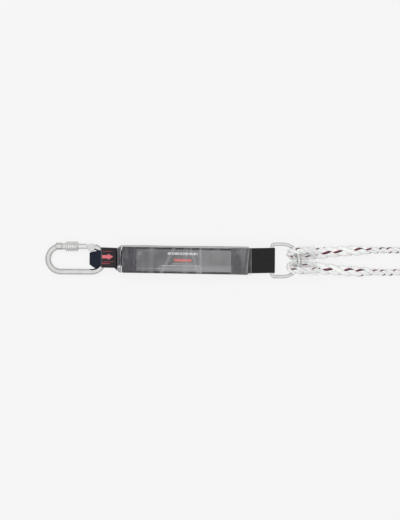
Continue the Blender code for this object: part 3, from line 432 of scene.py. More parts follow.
def metal(name, colour, roughness, wear=0.06, dents=0.02, grain=260.0):
    """Plated or tumbled metal with broad and fine wear."""
    look, tree, shader = new_look(name, Metallic=1.0, Specular_Tint=GLANCING_TINT)
    broad = cloud(tree, 90.0, 4.0)
    fine = cloud(tree, grain * 6, 3.0)
    worn = tuple(c * WORN for c in colour)
    base = blend_colours(spread(broad, 0.0, 1.0), worn, colour)
    tree.links.new(base, shader.inputs["Base Color"])
    patches = spread(broad, roughness - wear, roughness + wear)
    tree.links.new(plus(patches, spread(fine, -0.02, 0.02)), shader.inputs["Roughness"])
    bump(tree, shader, plus(cloud(tree, grain, 2.0), times(fine, 0.3)), dents)
    return look


def weave_height(tree, warp, weft):
    """Raised yarns along the tape, going over and under in alternate columns."""
    u, v = laid(tree)
    column = calc("DIVIDE", v, warp)
    step = times(calc("FLOOR", column), 0.5)
    turn = plus(calc("DIVIDE", u, weft), step)
    wave = calc("SINE", times(turn, 2 * math.pi))
    crown = calc("ABSOLUTE", calc("SINE", times(column, math.pi)))
    return times(calc("MULTIPLY_ADD", wave, 0.4, 0.6), calc("POWER", crown, 0.6))


def webbing(name, colour, highlight, warp=1.4, weft=2.2, relief=0.22, paint=None):
    """Woven cloth with painted shade between yarns and painted highlights on their crowns; paint changes its
    colour.
    """
    look, tree, shader = new_look(name, **CLOTH)
    height = weave_height(tree, warp, weft)
    fuzz = cloud(tree, 2400.0, 3.0)
    # Painted shade and highlight: the colour goes from dark between the yarns to light on their crowns.
    shade = times(height, spread(cloud(tree, 160.0, 3.0), 0.55, 1.0))
    base = blend_colours(shade, colour, highlight)
    if paint:
        base = paint(tree, base)
    tree.links.new(base, shader.inputs["Base Color"])
    bump(tree, shader, plus(height, times(fuzz, 0.35)), relief)
    return look


def dark_selvedges_and_shade(tree, base):
    """Darker selvedges, partly painted shade along the stack's shadowed sides, outside the middle of the
    folded stack.
    """
    _, v = laid(tree)
    off = calc("ABSOLUTE", calc("SUBTRACT", v, TEAR_WIDTH / 2))
    # Selvedges and painted shade: the tape darkens towards both edges.
    return blend_colours(times(ramp(off, 19.0, 21.0), 0.75), base, (0.02, 0.02, 0.022))


def rope_look(name, tracer):
    """A strand of white filament yarns, painted shade in their grooves; the tracer strand also has a black
    and a dark red yarn.
    """
    look, tree, shader = new_look(name, **FILAMENT)
    _, v = laid(tree)
    ridge = calc("SINE", times(v, 2 * math.pi * YARNS))
    fuzz = cloud(tree, 1800.0, 3.0)
    patches = spread(cloud(tree, 120.0, 3.0), 0.0, 1.0)
    tone = blend_colours(patches, (0.93, 0.935, 0.925), (0.97, 0.97, 0.965))
    # Painted shade: the grooves between the yarns are darker.
    base = blend_colours(ramp(ridge, -1.0, 0.0), (0.84, 0.85, 0.84), tone)
    if tracer:
        where = calc("FRACT", v)
        for low, high, colour in (BLACK_YARN, RED_YARN):
            base = blend_colours(band(where, low, high, 0.006), base, colour)
    tree.links.new(base, shader.inputs["Base Color"])
    bump(tree, shader, plus(ridge, times(fuzz, 0.8)), 0.16)
    return look


def clear(name, colour, low, high, roughness, scale, stretch=None):
    """A hazy clear plastic, denser along its creases."""
    look, tree, shader = new_look(name, Base_Color=(*colour, 1.0), Roughness=roughness, IOR=1.5)
    crease = cloud(tree, scale, 5.0, stretch)
    tree.links.new(spread(crease, low, high), shader.inputs["Alpha"])
    bump(tree, shader, crease, 0.25)
    return look


ZINC = metal("bright_zinc", (0.82, 0.82, 0.81), 0.18)
POLISHED = metal("polished_zinc", (0.94, 0.94, 0.93), 0.16)
SPRING = metal("spring_wire", (0.42, 0.42, 0.43), 0.35)
ALLOY = metal("tumbled_alloy", (0.74, 0.74, 0.75), 0.34, 0.08, 0.05, 200.0)
PRESSED = metal("pressed_steel", (0.80, 0.79, 0.77), 0.26, 0.07, 0.03, 240.0)
NAVY = webbing("navy_weave", (0.008, 0.011, 0.02), (0.022, 0.027, 0.042), 1.1, 1.8)
BLACK = webbing("black_weave", (0.011, 0.011, 0.012), (0.03, 0.03, 0.031))
TEAR = webbing("grey_weave", (0.026, 0.024, 0.029), (0.1, 0.095, 0.108), 1.6, 2.6, paint=dark_selvedges_and_shade)
TAPE = webbing("tie_weave", (0.012, 0.012, 0.013), (0.045, 0.045, 0.047), 0.9, 1.3)
THREAD = webbing("thread", (0.012, 0.012, 0.012), (0.05, 0.05, 0.05), 0.5, 0.5, 0.05)
STRAND = rope_look("white_strand", False)
TRACER = rope_look("tracer_strand", True)
SEAM = clear("welded_film", (0.42, 0.415, 0.42), 0.8, 0.95, 0.2, 90.0, (1.0, 6.0, 1.0))
SLEEVE = clear("milky_sleeve", (0.84, 0.825, 0.83), 0.015, 0.13, 0.12, 42.0)


# Metal pieces

SHARP_ANGLE = math.radians(34)
METALS = {"carabiner_gate": POLISHED, "latch_pin": POLISHED, "gate_rivet": ZINC, "gate_spring": SPRING}
HOOK_METALS = {"body": ALLOY, "gate": PRESSED, "lever": PRESSED, "gate_rivet": ZINC, "lever_rivet": ZINC,
               "gate_spring": SPRING, "lever_spring": SPRING}
for side in "ab":
    METALS |= {f"hook_{side}_{part}": look for part, look in HOOK_METALS.items()}


def softened():
    """A node group that shades smoothly over all but the sharp edges."""
    group = bpy.data.node_groups.new("softened", "GeometryNodeTree")
    for way in ("INPUT", "OUTPUT"):
        group.interface.new_socket("Geometry", in_out=way, socket_type="NodeSocketGeometry")
    kinds = ("NodeGroupInput", "GeometryNodeInputMeshEdgeAngle", "FunctionNodeCompare",
             "GeometryNodeSetShadeSmooth", "GeometryNodeSetShadeSmooth", "NodeGroupOutput")
    came, angle, sharp, faces, edges, gone = (group.nodes.new(kind) for kind in kinds)
    sharp.operation = "GREATER_THAN"
    sharp.inputs[1].default_value = SHARP_ANGLE
    edges.domain = "EDGE"
    edges.inputs["Shade Smooth"].default_value = False
    for start, end in (
        (came.outputs[0], faces.inputs["Geometry"]),
        (faces.outputs[0], edges.inputs["Geometry"]),
        (angle.outputs[0], sharp.inputs[0]),
        (sharp.outputs[0], edges.inputs["Selection"]),
        (edges.outputs[0], gone.inputs[0]),
    ):
        group.links.new(start, end)
    return group


def finish_metal(obj, look, group):
    """The CAD metal with its triangles joined, its edges rounded and its curves shaded smoothly."""
    obj.data.materials.clear()
    obj.data.materials.append(look)
    joined = obj.modifiers.new("joined", "WELD")
    joined.merge_threshold = 0.002 * MM
    flat = obj.modifiers.new("flat", "DECIMATE")
    flat.decimate_type = "DISSOLVE"
    flat.angle_limit = math.radians(1.5)
    edge = obj.modifiers.new("edge", "BEVEL")
    edge.width = 0.35 * MM
    edge.segments = 2
    edge.limit_method = "ANGLE"
    edge.angle_limit = SHARP_ANGLE
    smoothly = obj.modifiers.new("smooth", "NODES")
    smoothly.node_group = group
    even = obj.modifiers.new("even", "WEIGHTED_NORMAL")
    even.keep_sharp = True


def rod(line, radius, sides=32):
    """Round bar along a line, as a loft."""
    line = np.array(line, float)
    _, normal, across = carried_frames(line)
    rings, around = circles(line, normal, across, radius, sides)
    return loft(rings, distances(line), around * radius)


def turned(profile, at, axis, sides=40):
    """A solid of revolution about X or Z, from its distances along the axis and its radii there."""
    around = np.linspace(0, 2 * math.pi, sides + 1)
    circle = np.stack([np.zeros(sides), np.cos(around[:-1]), np.sin(around[:-1])], axis=1)
    along = np.array([1.0, 0.0, 0.0])
    if axis == "Z":
        circle, along = circle[:, [1, 2, 0]], np.array([0.0, 0.0, 1.0])
    rings = np.array([np.array(at) + h * along + r * circle for h, r in profile])
    return loft(rings, [h for h, _ in profile], around * profile[0][1])


def prism(outline, low, high):
    """A flat part of any outline, with its UV corners left plain."""
    n = len(outline)
    points = np.array([(x, y, z) for z in (low, high) for x, y in outline])
    faces = [tuple(range(n))[::-1], tuple(range(n, 2 * n))]
    faces += [(i, (i + 1) % n, n + (i + 1) % n, n + i) for i in range(n)]
    return points, faces, [(0.0, 0.0)] * sum(len(face) for face in faces)


def bent_rod():
    left, right = LEFT + ROD / 2 + RAIL_Y, CARABINER_RIGHT - ROD / 2 - RAIL_Y
    line = [(left + 1.0, RAIL_Y)]
    line += arc((left, 0), RAIL_Y, 90, 270, 48)
    line += arc((right, 0), RAIL_Y, 270, 435, 46)
    return rod([(x, y, CARABINER_Z) for x, y in line], ROD / 2)


def nose():
    start, radius = -NOSE_LENGTH, 6.2
    profile = [(start, radius - 1.3), (start + 0.5, radius - 0.3), (start + 1.1, radius),
               (-0.6, radius), (-0.15, radius - 0.2), (0.0, radius - 0.6)]
    return turned(profile, (NOSE_END, RAIL_Y, CARABINER_Z), "X")


def tongue():
    """The nose's flat tongue, notched for the latch pin."""
    root, tip, half, corner, thick = -1.0, 5.8, 3.5, 0.6, 4.0
    pin, notch = 2.8, 1.7
    outline = [(root, half), (tip - corner, half), (tip, half - corner), (tip, -half + corner)]
    outline += [(tip - corner, -half), (pin + 1.5, -half), *arc((pin, 0), notch, 0, 180, 12)]
    outline += [(pin - 2.6, 0), (pin - 2.6, -half), (root, -half)]
    outline = [(NOSE_END + x, RAIL_Y + y) for x, y in outline]
    return prism(outline, CARABINER_Z - thick / 2, CARABINER_Z + thick / 2)


def hinge_ear(low, high):
    profile = [(low, HINGE_RADIUS - 0.4), (low + 0.4, HINGE_RADIUS)]
    profile += [(high - 0.4, HINGE_RADIUS), (high, HINGE_RADIUS - 0.4)]
    return turned(profile, (*PIVOT, CARABINER_Z), "Z")


def carabiner_frame():
    """The bent rod with its nose and tongue at one end and two hinge ears at the other."""
    parts = [bent_rod(), nose(), tongue(), hinge_ear(-5.3, -3.5), hinge_ear(3.5, 5.3)]
    obj = piece("carabiner_frame", [(part, 0) for part in parts], [ZINC])
    settle(obj, "zinc_steel", "carabiner_body", rides="carabiner")


def ring_frame():
    """The bent and welded wire ring, begun in the middle of its straight side."""
    straight = RING_BEND - RING_CORNER
    line = [(BAR_X, 0.0), (BAR_X, -straight / 2)]
    line += arc((BAR_X + RING_CORNER, -straight), RING_CORNER, 180, 270, 10)
    line += arc((BAR_X + RING_SIDE, 0), RING_BEND, -90, 90, 64)
    line += arc((BAR_X + RING_CORNER, straight), RING_CORNER, 90, 180, 10)
    line += [(BAR_X, straight / 2), (BAR_X, 0.0)]
    line = np.array([(x, y, RING_Z) for x, y in line])
    _, normal, across = carried_frames(line)
    rings, around = circles(line, normal, across, RING_WIRE / 2, 28)
    rings[-1] = rings[0]
    obj = piece("wire_ring", [(loft(rings, distances(line), around * RING_WIRE, capped=False), 0)], [ZINC])
    settle(obj, "zinc_steel", "d_ring", rides="ring")


def sleeve_profile():
    """The screw sleeve's radii and distances along it: bore, rounded bands between grooves, and step."""
    rim = SLEEVE_RADIUS - 1.3
    profile = [(SLEEVE_BORE, SLEEVE_STEP), (SLEEVE_BORE, 0.0), (rim, 0.0)]
    for x in np.linspace(0.0, SLEEVE_LENGTH, 61):
        to_end = min(x, SLEEVE_LENGTH - x)
        groove = math.cos(math.pi * (x / SLEEVE_LENGTH * SLEEVE_BANDS)) ** 6
        radius = SLEEVE_RADIUS - 0.75 * groove - 0.5 * max(0.0, 1.0 - to_end / 0.8)
        profile.append((radius, min(max(x, 0.05), SLEEVE_LENGTH - 0.05)))
    return profile + [(rim, SLEEVE_LENGTH), (SLEEVE_NARROW, SLEEVE_LENGTH), (SLEEVE_NARROW, SLEEVE_STEP)]


def grooved_sleeve():
    """The locking sleeve, with fine flutes round its bands."""
    profile = sleeve_profile()
    around = np.linspace(0.0, 2 * math.pi, 169)
    rings = []
    for a in around:
        flute = 0.14 * (1 - abs(math.sin(14 * a)))
        ring = []
        for r, x in profile:
            r -= flute if r > SLEEVE_RADIUS - 0.4 else 0.0
            ring.append((SLEEVE_START + x, RAIL_Y + r * math.cos(a), CARABINER_Z + r * math.sin(a)))
        rings.append(ring)
    run = np.arange(len(profile) + 1) * 0.4
    shell = loft(np.array(rings), around * SLEEVE_RADIUS, run, capped=False)
    obj = piece("sleeve", [(shell, 0)], [POLISHED], 50.0)
    settle(obj, "zinc_steel", "screw_sleeve", rides="locking_sleeve")


carabiner_frame()
ring_frame()
grooved_sleeve()
SOFTENED = softened()
for name, look in METALS.items():
    finish_metal(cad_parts[name], look, SOFTENED)


# Rope

def strands(line, radius, pitch, looks, phase):
    """Strands twisted round a line, one for each look; radius and pitch are the rope's at each point.

    Gives for each strand its rings, its run, its UV turns and its look."""
    _, normal, across = carried_frames(line)
    run = distances(line)
    turn = np.concatenate([[0], np.cumsum(np.diff(run) / ((pitch[1:] + pitch[:-1]) / 2))])
    thick = radius / ROPE_TO_STRAND * STRAND_SWELL
    made = []
    for k, look in enumerate(looks):
        share = k / len(looks)
        angle = 2 * math.pi * (turn + share) + phase
        out = np.cos(angle)[:, None] * normal + np.sin(angle)[:, None] * across
        middle = line + (radius - thick)[:, None] * out
        ahead = tangents(middle)
        out = unit(out - ahead * (out * ahead).sum(axis=1, keepdims=True))
        rings, around = circles(middle, out, np.cross(ahead, out), thick[:, None, None], STRAND_SIDES)
        counter = YARN_START + YARN_COUNTER_TURN * (turn + share + phase / (2 * math.pi))
        made.append((rings, run, around[None] / (2 * math.pi) + counter[:, None], look))
    return made


def closed(strand):
    rings, run, v, look = strand
    return loft(rings, run, v), look


def hump(x):
    """The rope's rise where it crosses over the hank's far fold."""
    t = (x - CROSS_X) / HUMP_HALF
    return HUMP_HEIGHT * math.cos(math.pi / 2 * t) ** 2 if abs(t) < 1 else 0.0


def drawn_in(run, t):
    """Y and Z of one of the hank's runs, drawn in by the tie at its middle."""
    draw = math.sin(math.pi * t) ** 2
    y, waist = HANK_RUNS[run], HANK_WAISTS[run]
    return y + (waist - y) * draw, ROPE / 2 + (TIE_MIDDLE_Z - ROPE / 2) * draw**2


def hank_route():
    """Three runs and two folds on the ground, drawn in at the waist, then out over the far fold."""
    rest = ROPE / 2
    steps = [k / 8 for k in range(1, 9)]
    far, near = (HANK_RUNS[0] + HANK_RUNS[1]) / 2, (HANK_RUNS[1] + HANK_RUNS[2]) / 2
    points = [(RUN_END_X + GAP, 16.4, rest), (RUN_END_X + 10, 15.1, rest)]
    points += [(FOLD_X + HANK_RUN * t, *drawn_in(0, t)) for t in [0.0, *steps]]
    points += [(x, y, rest) for x, y in arc((FOLD_END_X, far), HANK_RUNS[1] - far, -90, 90, 12)[1:]]
    points += [(FOLD_END_X - HANK_RUN * t, *drawn_in(1, t)) for t in steps]
    points += [(x, y, rest) for x, y in arc((FOLD_X, near), HANK_RUNS[1] - near, 90, 270, 12)[1:]]
    crossing = [(FOLD_X + HANK_RUN * t, *drawn_in(2, t)) for t in steps]
    for step, y in ((12, 29.9), (24, 31.0), (36, 33.0), (46, 35.2), (HANK_OUT, 37.6)):
        crossing.append((FOLD_END_X + step, y, rest))
    return points + [(x, y, z + hump(x)) for x, y, z in crossing]


def ring_splice():
    """The splice behind the ring eye and the plain rope up to the hank, with the radius at each point."""
    thin, thick = ROPE / 2, SPLICE / 2
    splice = (
        (0.0, 13.2, EYE_FOOT_Z + 5.2, THROAT / 2),
        (0.14, 14.4, EYE_FOOT_Z + 4.4, 10.6),
        (0.3, 15.9, thick + 0.8, thick),
        (0.55, 17.8, thick + 0.3, thick),
        (0.8, 18.8, thick - 0.4, thick - 0.9),
        (0.9, 19.1, thin + 0.4, thin + 0.3),
        (1.0, RUN_Y, thin, thin),
    )
    route = [((RING_SPLICE_START + t * RING_SPLICE_LENGTH, y, z), r) for t, y, z, r in splice]
    end = RING_SPLICE_START + RING_SPLICE_LENGTH
    for x, y in ((end + 14, RUN_Y + 0.2), (end + 40, RUN_Y + 0.1), (RUN_END_X - 12, 17.4)):
        route.append(((x, y, thin), thin))
    return route


def hook_splice(hank):
    """The splice between the hank's last point and the hook eye, with the radius at each point."""
    out, thick = Vector(hank[-1]), SPLICE / 2
    long = HOOK_THROAT_X + 2 - out.x
    rise = 0.9 * hump(out.x + 0.36 * long)
    splice = (
        (0.36, HOOK_Y - 4.5, thick + rise, thick - 0.6),
        (0.6, HOOK_Y - 2.4, thick + 1.0, thick),
        (0.85, HOOK_Y - 1.0, EYE_FOOT_Z + 3.6, 9.6),
        (1.0, HOOK_Y - 0.8, EYE_FOOT_Z + 6.4, THROAT / 2),
    )
    start = tuple(out + (out - Vector(hank[-2])).normalized() * ROPE)
    return [(start, ROPE / 2)] + [((out.x + t * long, y, z), r) for t, y, z, r in splice]


def leg_route(side):
    """The rope from the ring eye's throat to the hook eye's throat, with its radius at each point."""
    hank = hank_route()
    route = ring_splice() + [(point, ROPE / 2) for point in hank] + hook_splice(hank)
    return [((x, side * y, z), radius) for (x, y, z), radius in route]


def radius_along(line, route):
    """The rope's radius at each point of the line, from the route's own points."""
    marks, radii, last = [], [], 0
    for point, value in route:
        last += int(np.linalg.norm(line[last:last + 60] - np.array(point), axis=1).argmin())
        marks.append(last)
        radii.append(value)
    return np.interp(np.arange(len(line)), marks, radii)


def mirrored(points, side):
    return [(x, side * y, z) for x, y, z in points]


def ring_eye_line(side):
    """From the throat along the ground, up through the ring and back on top."""
    foot, top = EYE_FOOT_Z, EYE_FOOT_Z + 2 * RING_EYE_RISE
    inside, bow, throat = RING_APEX - 16.6, 9.6, RING_APEX + 34.0
    foot_y, top_y = 6.6, 17.0
    line = [(throat + 4, 10.0, foot + 3.0), (throat - 8, 8.6, foot + 0.6), (RING_APEX + 4, foot_y, foot)]
    for step, z in arc((0, RING_Z), RING_EYE_RISE, -90, 90, 8):
        t = (z - foot) / (top - foot)
        line.append((inside + bow - bow * step / RING_EYE_RISE, foot_y + (top_y - foot_y) * t, z))
    line.append((RING_APEX + 4, top_y + 0.3, top - 0.2))
    line.append((throat - 10, top_y - 0.2, top - 5.2))
    line.append((throat + 4, top_y - 1.6, foot + 8.5))
    return smooth(mirrored(line, side), STRAND_STEP)


def hook_eye_line(side):
    """From the throat along the ground, up through the hook's eye and back on top."""
    foot, top, throat = EYE_FOOT_Z, EYE_FOOT_Z + 2 * HOOK_EYE_RISE, HOOK_THROAT_X
    line = [(throat - 5, HOOK_Y - 1.0, foot + 6.0), (throat + 6, HOOK_Y - 0.6, foot + 2.0)]
    line.append((HOOK_X - 8, HOOK_Y, foot + 0.1))
    for step, z in arc((0, HOOK_Z), HOOK_EYE_RISE, -90, 90, 8):
        line.append((HOOK_X + HOOK_EYE_REACH * step / HOOK_EYE_RISE, HOOK_Y, z))
    line.append((HOOK_X - 7, HOOK_Y, top - 1.2))
    line.append((throat + 5, HOOK_Y - 0.6, top - 8.4))
    line.append((throat - 5, HOOK_Y - 1.0, foot + 11.0))
    return smooth(mirrored(line, side), STRAND_STEP)


def eye_strands(line, phase):
    """An eye's three strands, one of them with the tracer yarns."""
    radius, pitch = np.full(len(line), EYE_ROPE / 2), np.full(len(line), ROPE_PITCH)
    return [closed(strand) for strand in strands(line, radius, pitch, (0, 1, 0), phase)]


def rope_leg(letter, side):
    """A leg in three pieces: ring eye with its splice, free rope, and hook end. Gives the free rope, its path
    and what hangs on its far end."""
    looks = [STRAND, TRACER]
    route = leg_route(side)
    line = smooth([point for point, _ in route], STRAND_STEP)
    radius = radius_along(line, route)
    fat = np.clip((radius - ROPE / 2) / (SPLICE / 2 - ROPE / 2), 0, 1)
    pitch = ROPE_PITCH + (SPLICE_PITCH - ROPE_PITCH) * fat
    whole = strands(line, radius, pitch, (0, 1, 1), 0.6 if side > 0 else 2.4)
    first = int(np.argmax(line[:, 0] > CORD_START_X))
    last = len(line) - 1 - int(np.argmax(line[::-1, 0] < HANK_OUT_X + GAP))

    def between(low, high):
        """The same strands, from one point of the line to another."""
        return [closed((r[low:high + 1], u[low:high + 1], v[low:high + 1], look)) for r, u, v, look in whole]

    eye = piece(f"rope_eye_{letter}", eye_strands(ring_eye_line(side), 0.4 * side) + between(0, first), looks)
    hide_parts(f"ring_eye_{letter}")
    bend(eye, "ring", *RING_BEND_X)

    cord = piece(f"rope_{letter}", between(first, last), looks)
    settle(cord, "rope", f"rope_run_{letter}", f"rope_hank_{letter}")

    tail = between(last, len(line) - 1) + eye_strands(hook_eye_line(side), 1.0)
    end = piece(f"rope_end_{letter}", tail, looks)
    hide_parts(f"hook_eye_{letter}")
    bend(end, f"hook_{letter}", *HOOK_BEND_X)

    hook = [f"hook_{letter}_{part}" for part in HOOK_METALS]
    return cord, line[first:last + 1], [eye, end, *hook]


def sleeve_shell(name, sections, wall, look, node):
    """A thin sleeve through closed sections, open at both ends, with its wall inwards."""
    outer = np.array(sections)
    inner = outer + unit(outer.mean(axis=1, keepdims=True) - outer) * wall
    rings = np.concatenate([outer, inner[::-1], outer[:1]])
    v = np.linspace(0, 100, outer.shape[1] + 1)
    obj = piece(name, [(loft(rings, rings[:, 0, 0], v, capped=False), 0)], [look])
    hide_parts(node)
    return obj


def squarish(half, high, power, count):
    """Y, Z and the sine of the angle round a section between a round and a box, on the sleeves' foot."""
    section = []
    for k in range(count):
        a = 2 * math.pi * k / count
        c, s = math.cos(a), math.sin(a)
        y = half * math.copysign(abs(c) ** power, c)
        rise = (high - CLEAR_FOOT) / 2 * math.copysign(abs(s) ** power, s)
        section.append((y, (high + CLEAR_FOOT) / 2 + rise, s))
    return section


def neck_sleeve():
    """The clear sleeve round both ring eyes, sunk a little between them."""
    start, long, steps = RING_APEX - 1.0, 32.0, 24
    top = EYE_FOOT_Z + 2 * RING_EYE_RISE + ROPE / 2 + 2.8
    sections = []
    for i in range(steps + 1):
        t = i / steps
        half = 25.9 + 1.2 * t
        ring = []
        for y, z, up in squarish(half, top - 6.0 * t**1.3, 0.6, 72):
            x = start + (long - 3.5 * y / half) * t
            if up > 0:
                z -= 2.6 * math.exp(-(y / 6.0) ** 2) * up
                z += 0.35 * noise.noise(Vector((x * 0.25, y * 0.35, 3.0)))
            ring.append((x + 0.8 * noise.noise(Vector((y * 0.12, i * 0.1, 7.0))), y, z))
        sections.append(ring)
    obj = sleeve_shell("clear_neck_sleeve", sections, CLEAR_WALL, SLEEVE, "neck_sleeve")
    bend(obj, "ring", *RING_BEND_X)
    return obj


def hook_sleeve(letter, side):
    """The clear sleeve over a hook eye's throat."""
    end, long, steps = HOOK_X - 10.0, 26.0, 20
    top = EYE_FOOT_Z + 2 * HOOK_EYE_RISE + ROPE / 2
    marks = [0.0, 0.5, 1.0]
    highs, halves, middles = [27.5, top - 2.6, top + 2.2], [13.0, 12.2, 11.4], [45.2, 45.5, 46.0]
    sections = []
    for i in range(steps + 1):
        t = i / steps
        high, half, middle = (float(np.interp(t, marks, values)) for values in (highs, halves, middles))
        ring = []
        for y, z, up in squarish(half, high, 0.7, 48):
            z += 0.3 * up * noise.noise(Vector((t * 6, y * 0.3, 5.0))) if up > 0 else 0.0
            ring.append((end - long + long * t, side * (middle + y), z))
        sections.append(ring)
    name, node = f"clear_hook_sleeve_{letter}", f"hook_sleeve_{letter}"
    obj = sleeve_shell(name, sections, CLEAR_WALL, SLEEVE, node)
    bend(obj, f"hook_{letter}", *HOOK_BEND_X)
    return obj


def tie_line(side, half, rise):
    """The tape's closed way round the waist, with round corners."""
    corner = rise - 1.6
    outline = []
    for k, (y, z) in enumerate([(1, 1), (-1, 1), (-1, -1), (1, -1)]):
        outline += arc((y * (half - corner), z * (rise - corner)), corner, 90 * k, 90 * k + 90, 8)
    outline.append(outline[0])
    return evenly(np.array([(WAIST_X, side * WAIST_Y + y, TIE_MIDDLE_Z + z) for y, z in outline]), 1.5)


def hank_tie(letter, side):
    """A woven tape wrapped round the hank's waist, its end lapped over on top."""
    rise, half = ROPE / 2 + GAP + TIE_SHEET, TIE_WIDTH / 2
    line = tie_line(side, WAIST_STEP + ROPE / 2 + 2.2 + TIE_SHEET, rise)
    ahead = unit(np.roll(line, -1, axis=0) - np.roll(line, 1, axis=0))
    out = np.cross(ahead, np.array([1.0, 0, 0]))
    out *= np.sign((out * (line - line.mean(axis=0))).sum())
    inside = np.linspace(1 - half, half - 1, 7)
    section = [(-half, -TIE_SHEET), *[(x, 0.0) for x in (-half, *inside, half)]]
    section += [(x, -TIE_SHEET) for x in (half, *inside[::-1])]
    rings = [[p + np.array([a, 0, 0]) + o * b for a, b in section] for p, o in zip(line[:-1], out[:-1])]
    v = np.array([a for a, _ in section + section[:1]]) + half
    shell = loft(np.array(rings + rings[:1]), distances(line), v, capped=False)
    obj = piece(f"tie_{letter}", [(shell, 0)], [TAPE])
    lap = lapped_end(letter, side * (WAIST_Y - 2), TIE_MIDDLE_Z + rise)
    settle(obj, "tie_webbing", f"hank_tie_{letter}")
    return [obj, lap]


def lapped_end(letter, middle, top):
    """The tape's end, lying on the tie with its two ends pressed down."""
    wide, long, thick = 19.0, 20.0, 1.0
    xs, ys = np.linspace(-wide / 2, wide / 2, 9), np.linspace(-long / 2, long / 2, 11)
    rings = []
    for y in ys:
        height = thick - 0.25 * (abs(y) / (long / 2)) ** 3
        over = [(WAIST_X + x, middle + y, top + height) for x in xs]
        under = [(WAIST_X + x, middle + y, top + 0.02) for x in xs[::-1]]
        rings.append(over + under)
    v = np.concatenate([xs, xs[::-1], xs[:1]]) + wide / 2
    obj = piece(f"tie_lap_{letter}", [(loft(np.array(rings), ys, v), 0)], [TAPE])
    settle(obj, "tie_webbing")
    return obj


NECK = neck_sleeve()
for letter, side in (("a", 1), ("b", -1)):
    cord, path, going = rope_leg(letter, side)
    going += [hook_sleeve(letter, side), *hank_tie(letter, side)]
    if letter == "a":
        going.append(NECK)


# Webbing

def tape(name, line, width, thickness, look, edges):
    """A woven tape along a line in X and Z; edges gives its two edges at each X. Gives its length too."""
    line = evenly(np.array([(x, 0.0, z) for x, z in line]), 1.2)
    run = distances(line)
    up = np.cross(np.array([0, 1.0, 0]), tangents(line))
    edge = thickness * 0.42
    shoulder = thickness * 0.32
    rings = []
    for p, n in zip(line, up):
        low, high = edges(p[0])
        half, middle = (high - low) / 2, (high + low) / 2
        section = [(y, thickness / 2) for y in np.linspace(-half + edge, half - edge, 13)]
        section += [(half - edge * 0.3, shoulder), (half, 0.0), (half - edge * 0.3, -shoulder)]
        section += [(-y, -h) for y, h in section]
        rings.append([p + np.array([0, y + middle, 0]) + n * h for y, h in section])
    v = np.array([y for y, _ in section + section[:1]]) + width / 2
    obj = piece(name, [(loft(np.array(rings), run, v), 0)], [look], 50.0)
    return obj, float(run[-1])


def harness_loop():
    """Navy webbing from the pack's bottom layer, round the carabiner's rod and back."""
    rise = ROD / 2 + GAP + WEBBING / 2
    left = CARABINER_RIGHT - HARNESS_REACH
    end_x = left + rise + WEBBING / 2
    tail_end = PACK_START + TAIL_LENGTH
    under, over = FIRST_LAYER_Z - TAIL_OFFSET, FIRST_LAYER_Z + TAIL_OFFSET
    line = [(tail_end, over), (PACK_START + 1, over), (PACK_START - 3, over + 0.9)]
    line += [(CARABINER_RIGHT + 6.0, CARABINER_Z + rise - 1.1), (CARABINER_RIGHT + 1.5, CARABINER_Z + rise)]
    line += arc((end_x, CARABINER_Z), rise, 90, 270, 16)
    line += [(CARABINER_RIGHT + 3.0, CARABINER_Z - rise), (PACK_START, under), (tail_end, under)]

    def edges(x):
        """Both edges, drawn in round the rod."""
        low = np.interp(x - left, [0.0, 9.7, 19.9], [6.6, 0.0, 4.7])
        high = np.interp(x - left, [0.0, 3.0, 19.9], [4.6, 3.2, 0.0])
        return low - HARNESS_WIDTH / 2, HARNESS_WIDTH / 2 - high

    obj, long = tape("navy_loop", line, HARNESS_WIDTH, WEBBING, NAVY, edges)
    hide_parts("harness_loop")
    bend(obj, "carabiner", *SWING_BEND_X)


def ring_loop():
    """Black webbing from the pack's top layer, round the ring's bar and back."""
    rise = RING_WIRE / 2 + GAP + WEBBING / 2
    low, high = LAST_LAYER_Z - TAIL_OFFSET, LAST_LAYER_Z + TAIL_OFFSET
    line = [(PACK_END - TAIL_LENGTH, high), (PACK_END + 2, high), (PACK_END + 6, high - 0.7)]
    line += arc((BAR_X, RING_Z), rise, 86, -100, 16)
    line += [(PACK_END + 5, low - 0.6), (PACK_END + 1, low), (PACK_END - TAIL_LENGTH, low)]

    def edges(x):
        askew = float(np.interp(x, [PACK_END - TAIL_LENGTH, PACK_END, BAR_X], [-1.2, -1.0, 0.0]))
        return askew - WEBBING_WIDTH / 2, askew + WEBBING_WIDTH / 2

    obj, long = tape("black_loop", line, WEBBING_WIDTH, WEBBING, BLACK, edges)
    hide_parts("ring_loop")
    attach(obj, "lanyard")


def tear_webbing():
    """The tear webbing, folded to and fro in layers."""
    fold = LAYER_PITCH / 2
    left = PACK_START + PACK_END_MARGIN + fold + TEAR_PLY / 2
    right = PACK_END - PACK_END_MARGIN - fold - TEAR_PLY / 2
    line = [(PACK_START + TAIL_LENGTH + GAP, FIRST_LAYER_Z)]
    for k in range(LAYERS - 1):
        z = FIRST_LAYER_Z + (k + 0.5) * LAYER_PITCH
        line += arc((left, z), fold, 270, 90, 8) if k % 2 else arc((right, z), fold, -90, 90, 8)
    line.append((PACK_END - TAIL_LENGTH - GAP, LAST_LAYER_Z))

    def edges(x):
        return pack_y(x) - TEAR_WIDTH / 2, pack_y(x) + TEAR_WIDTH / 2

    obj, long = tape("tear_web", line, TEAR_WIDTH, TEAR_PLY, TEAR, edges)
    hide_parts("tear_webbing")
    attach(obj, "lanyard")


# Pack: film, seam, label

def wrinkle(x, y, size, seed):
    return noise.noise(Vector((x / size, y / size, seed)))


def pack_y(x):
    """The folded stack's middle, which lies a little askew."""
    return PACK_Y + PACK_LEAN * (x - (PACK_START + PACK_END) / 2)


def seam_y(x):
    """The film's +Y wall and the seam's inner edge, as they run in the photograph."""
    wall = np.interp(x, [-85.0, -50.0, 5.0, 80.0, 133.0], [24.0, 24.3, 23.5, 23.4, 22.9])
    inner = np.interp(x, [-85.0, -22.0, 12.0, 65.0, 117.0], [22.3, 21.8, 20.8, 20.4, 20.7])
    return float(wall), float(inner)


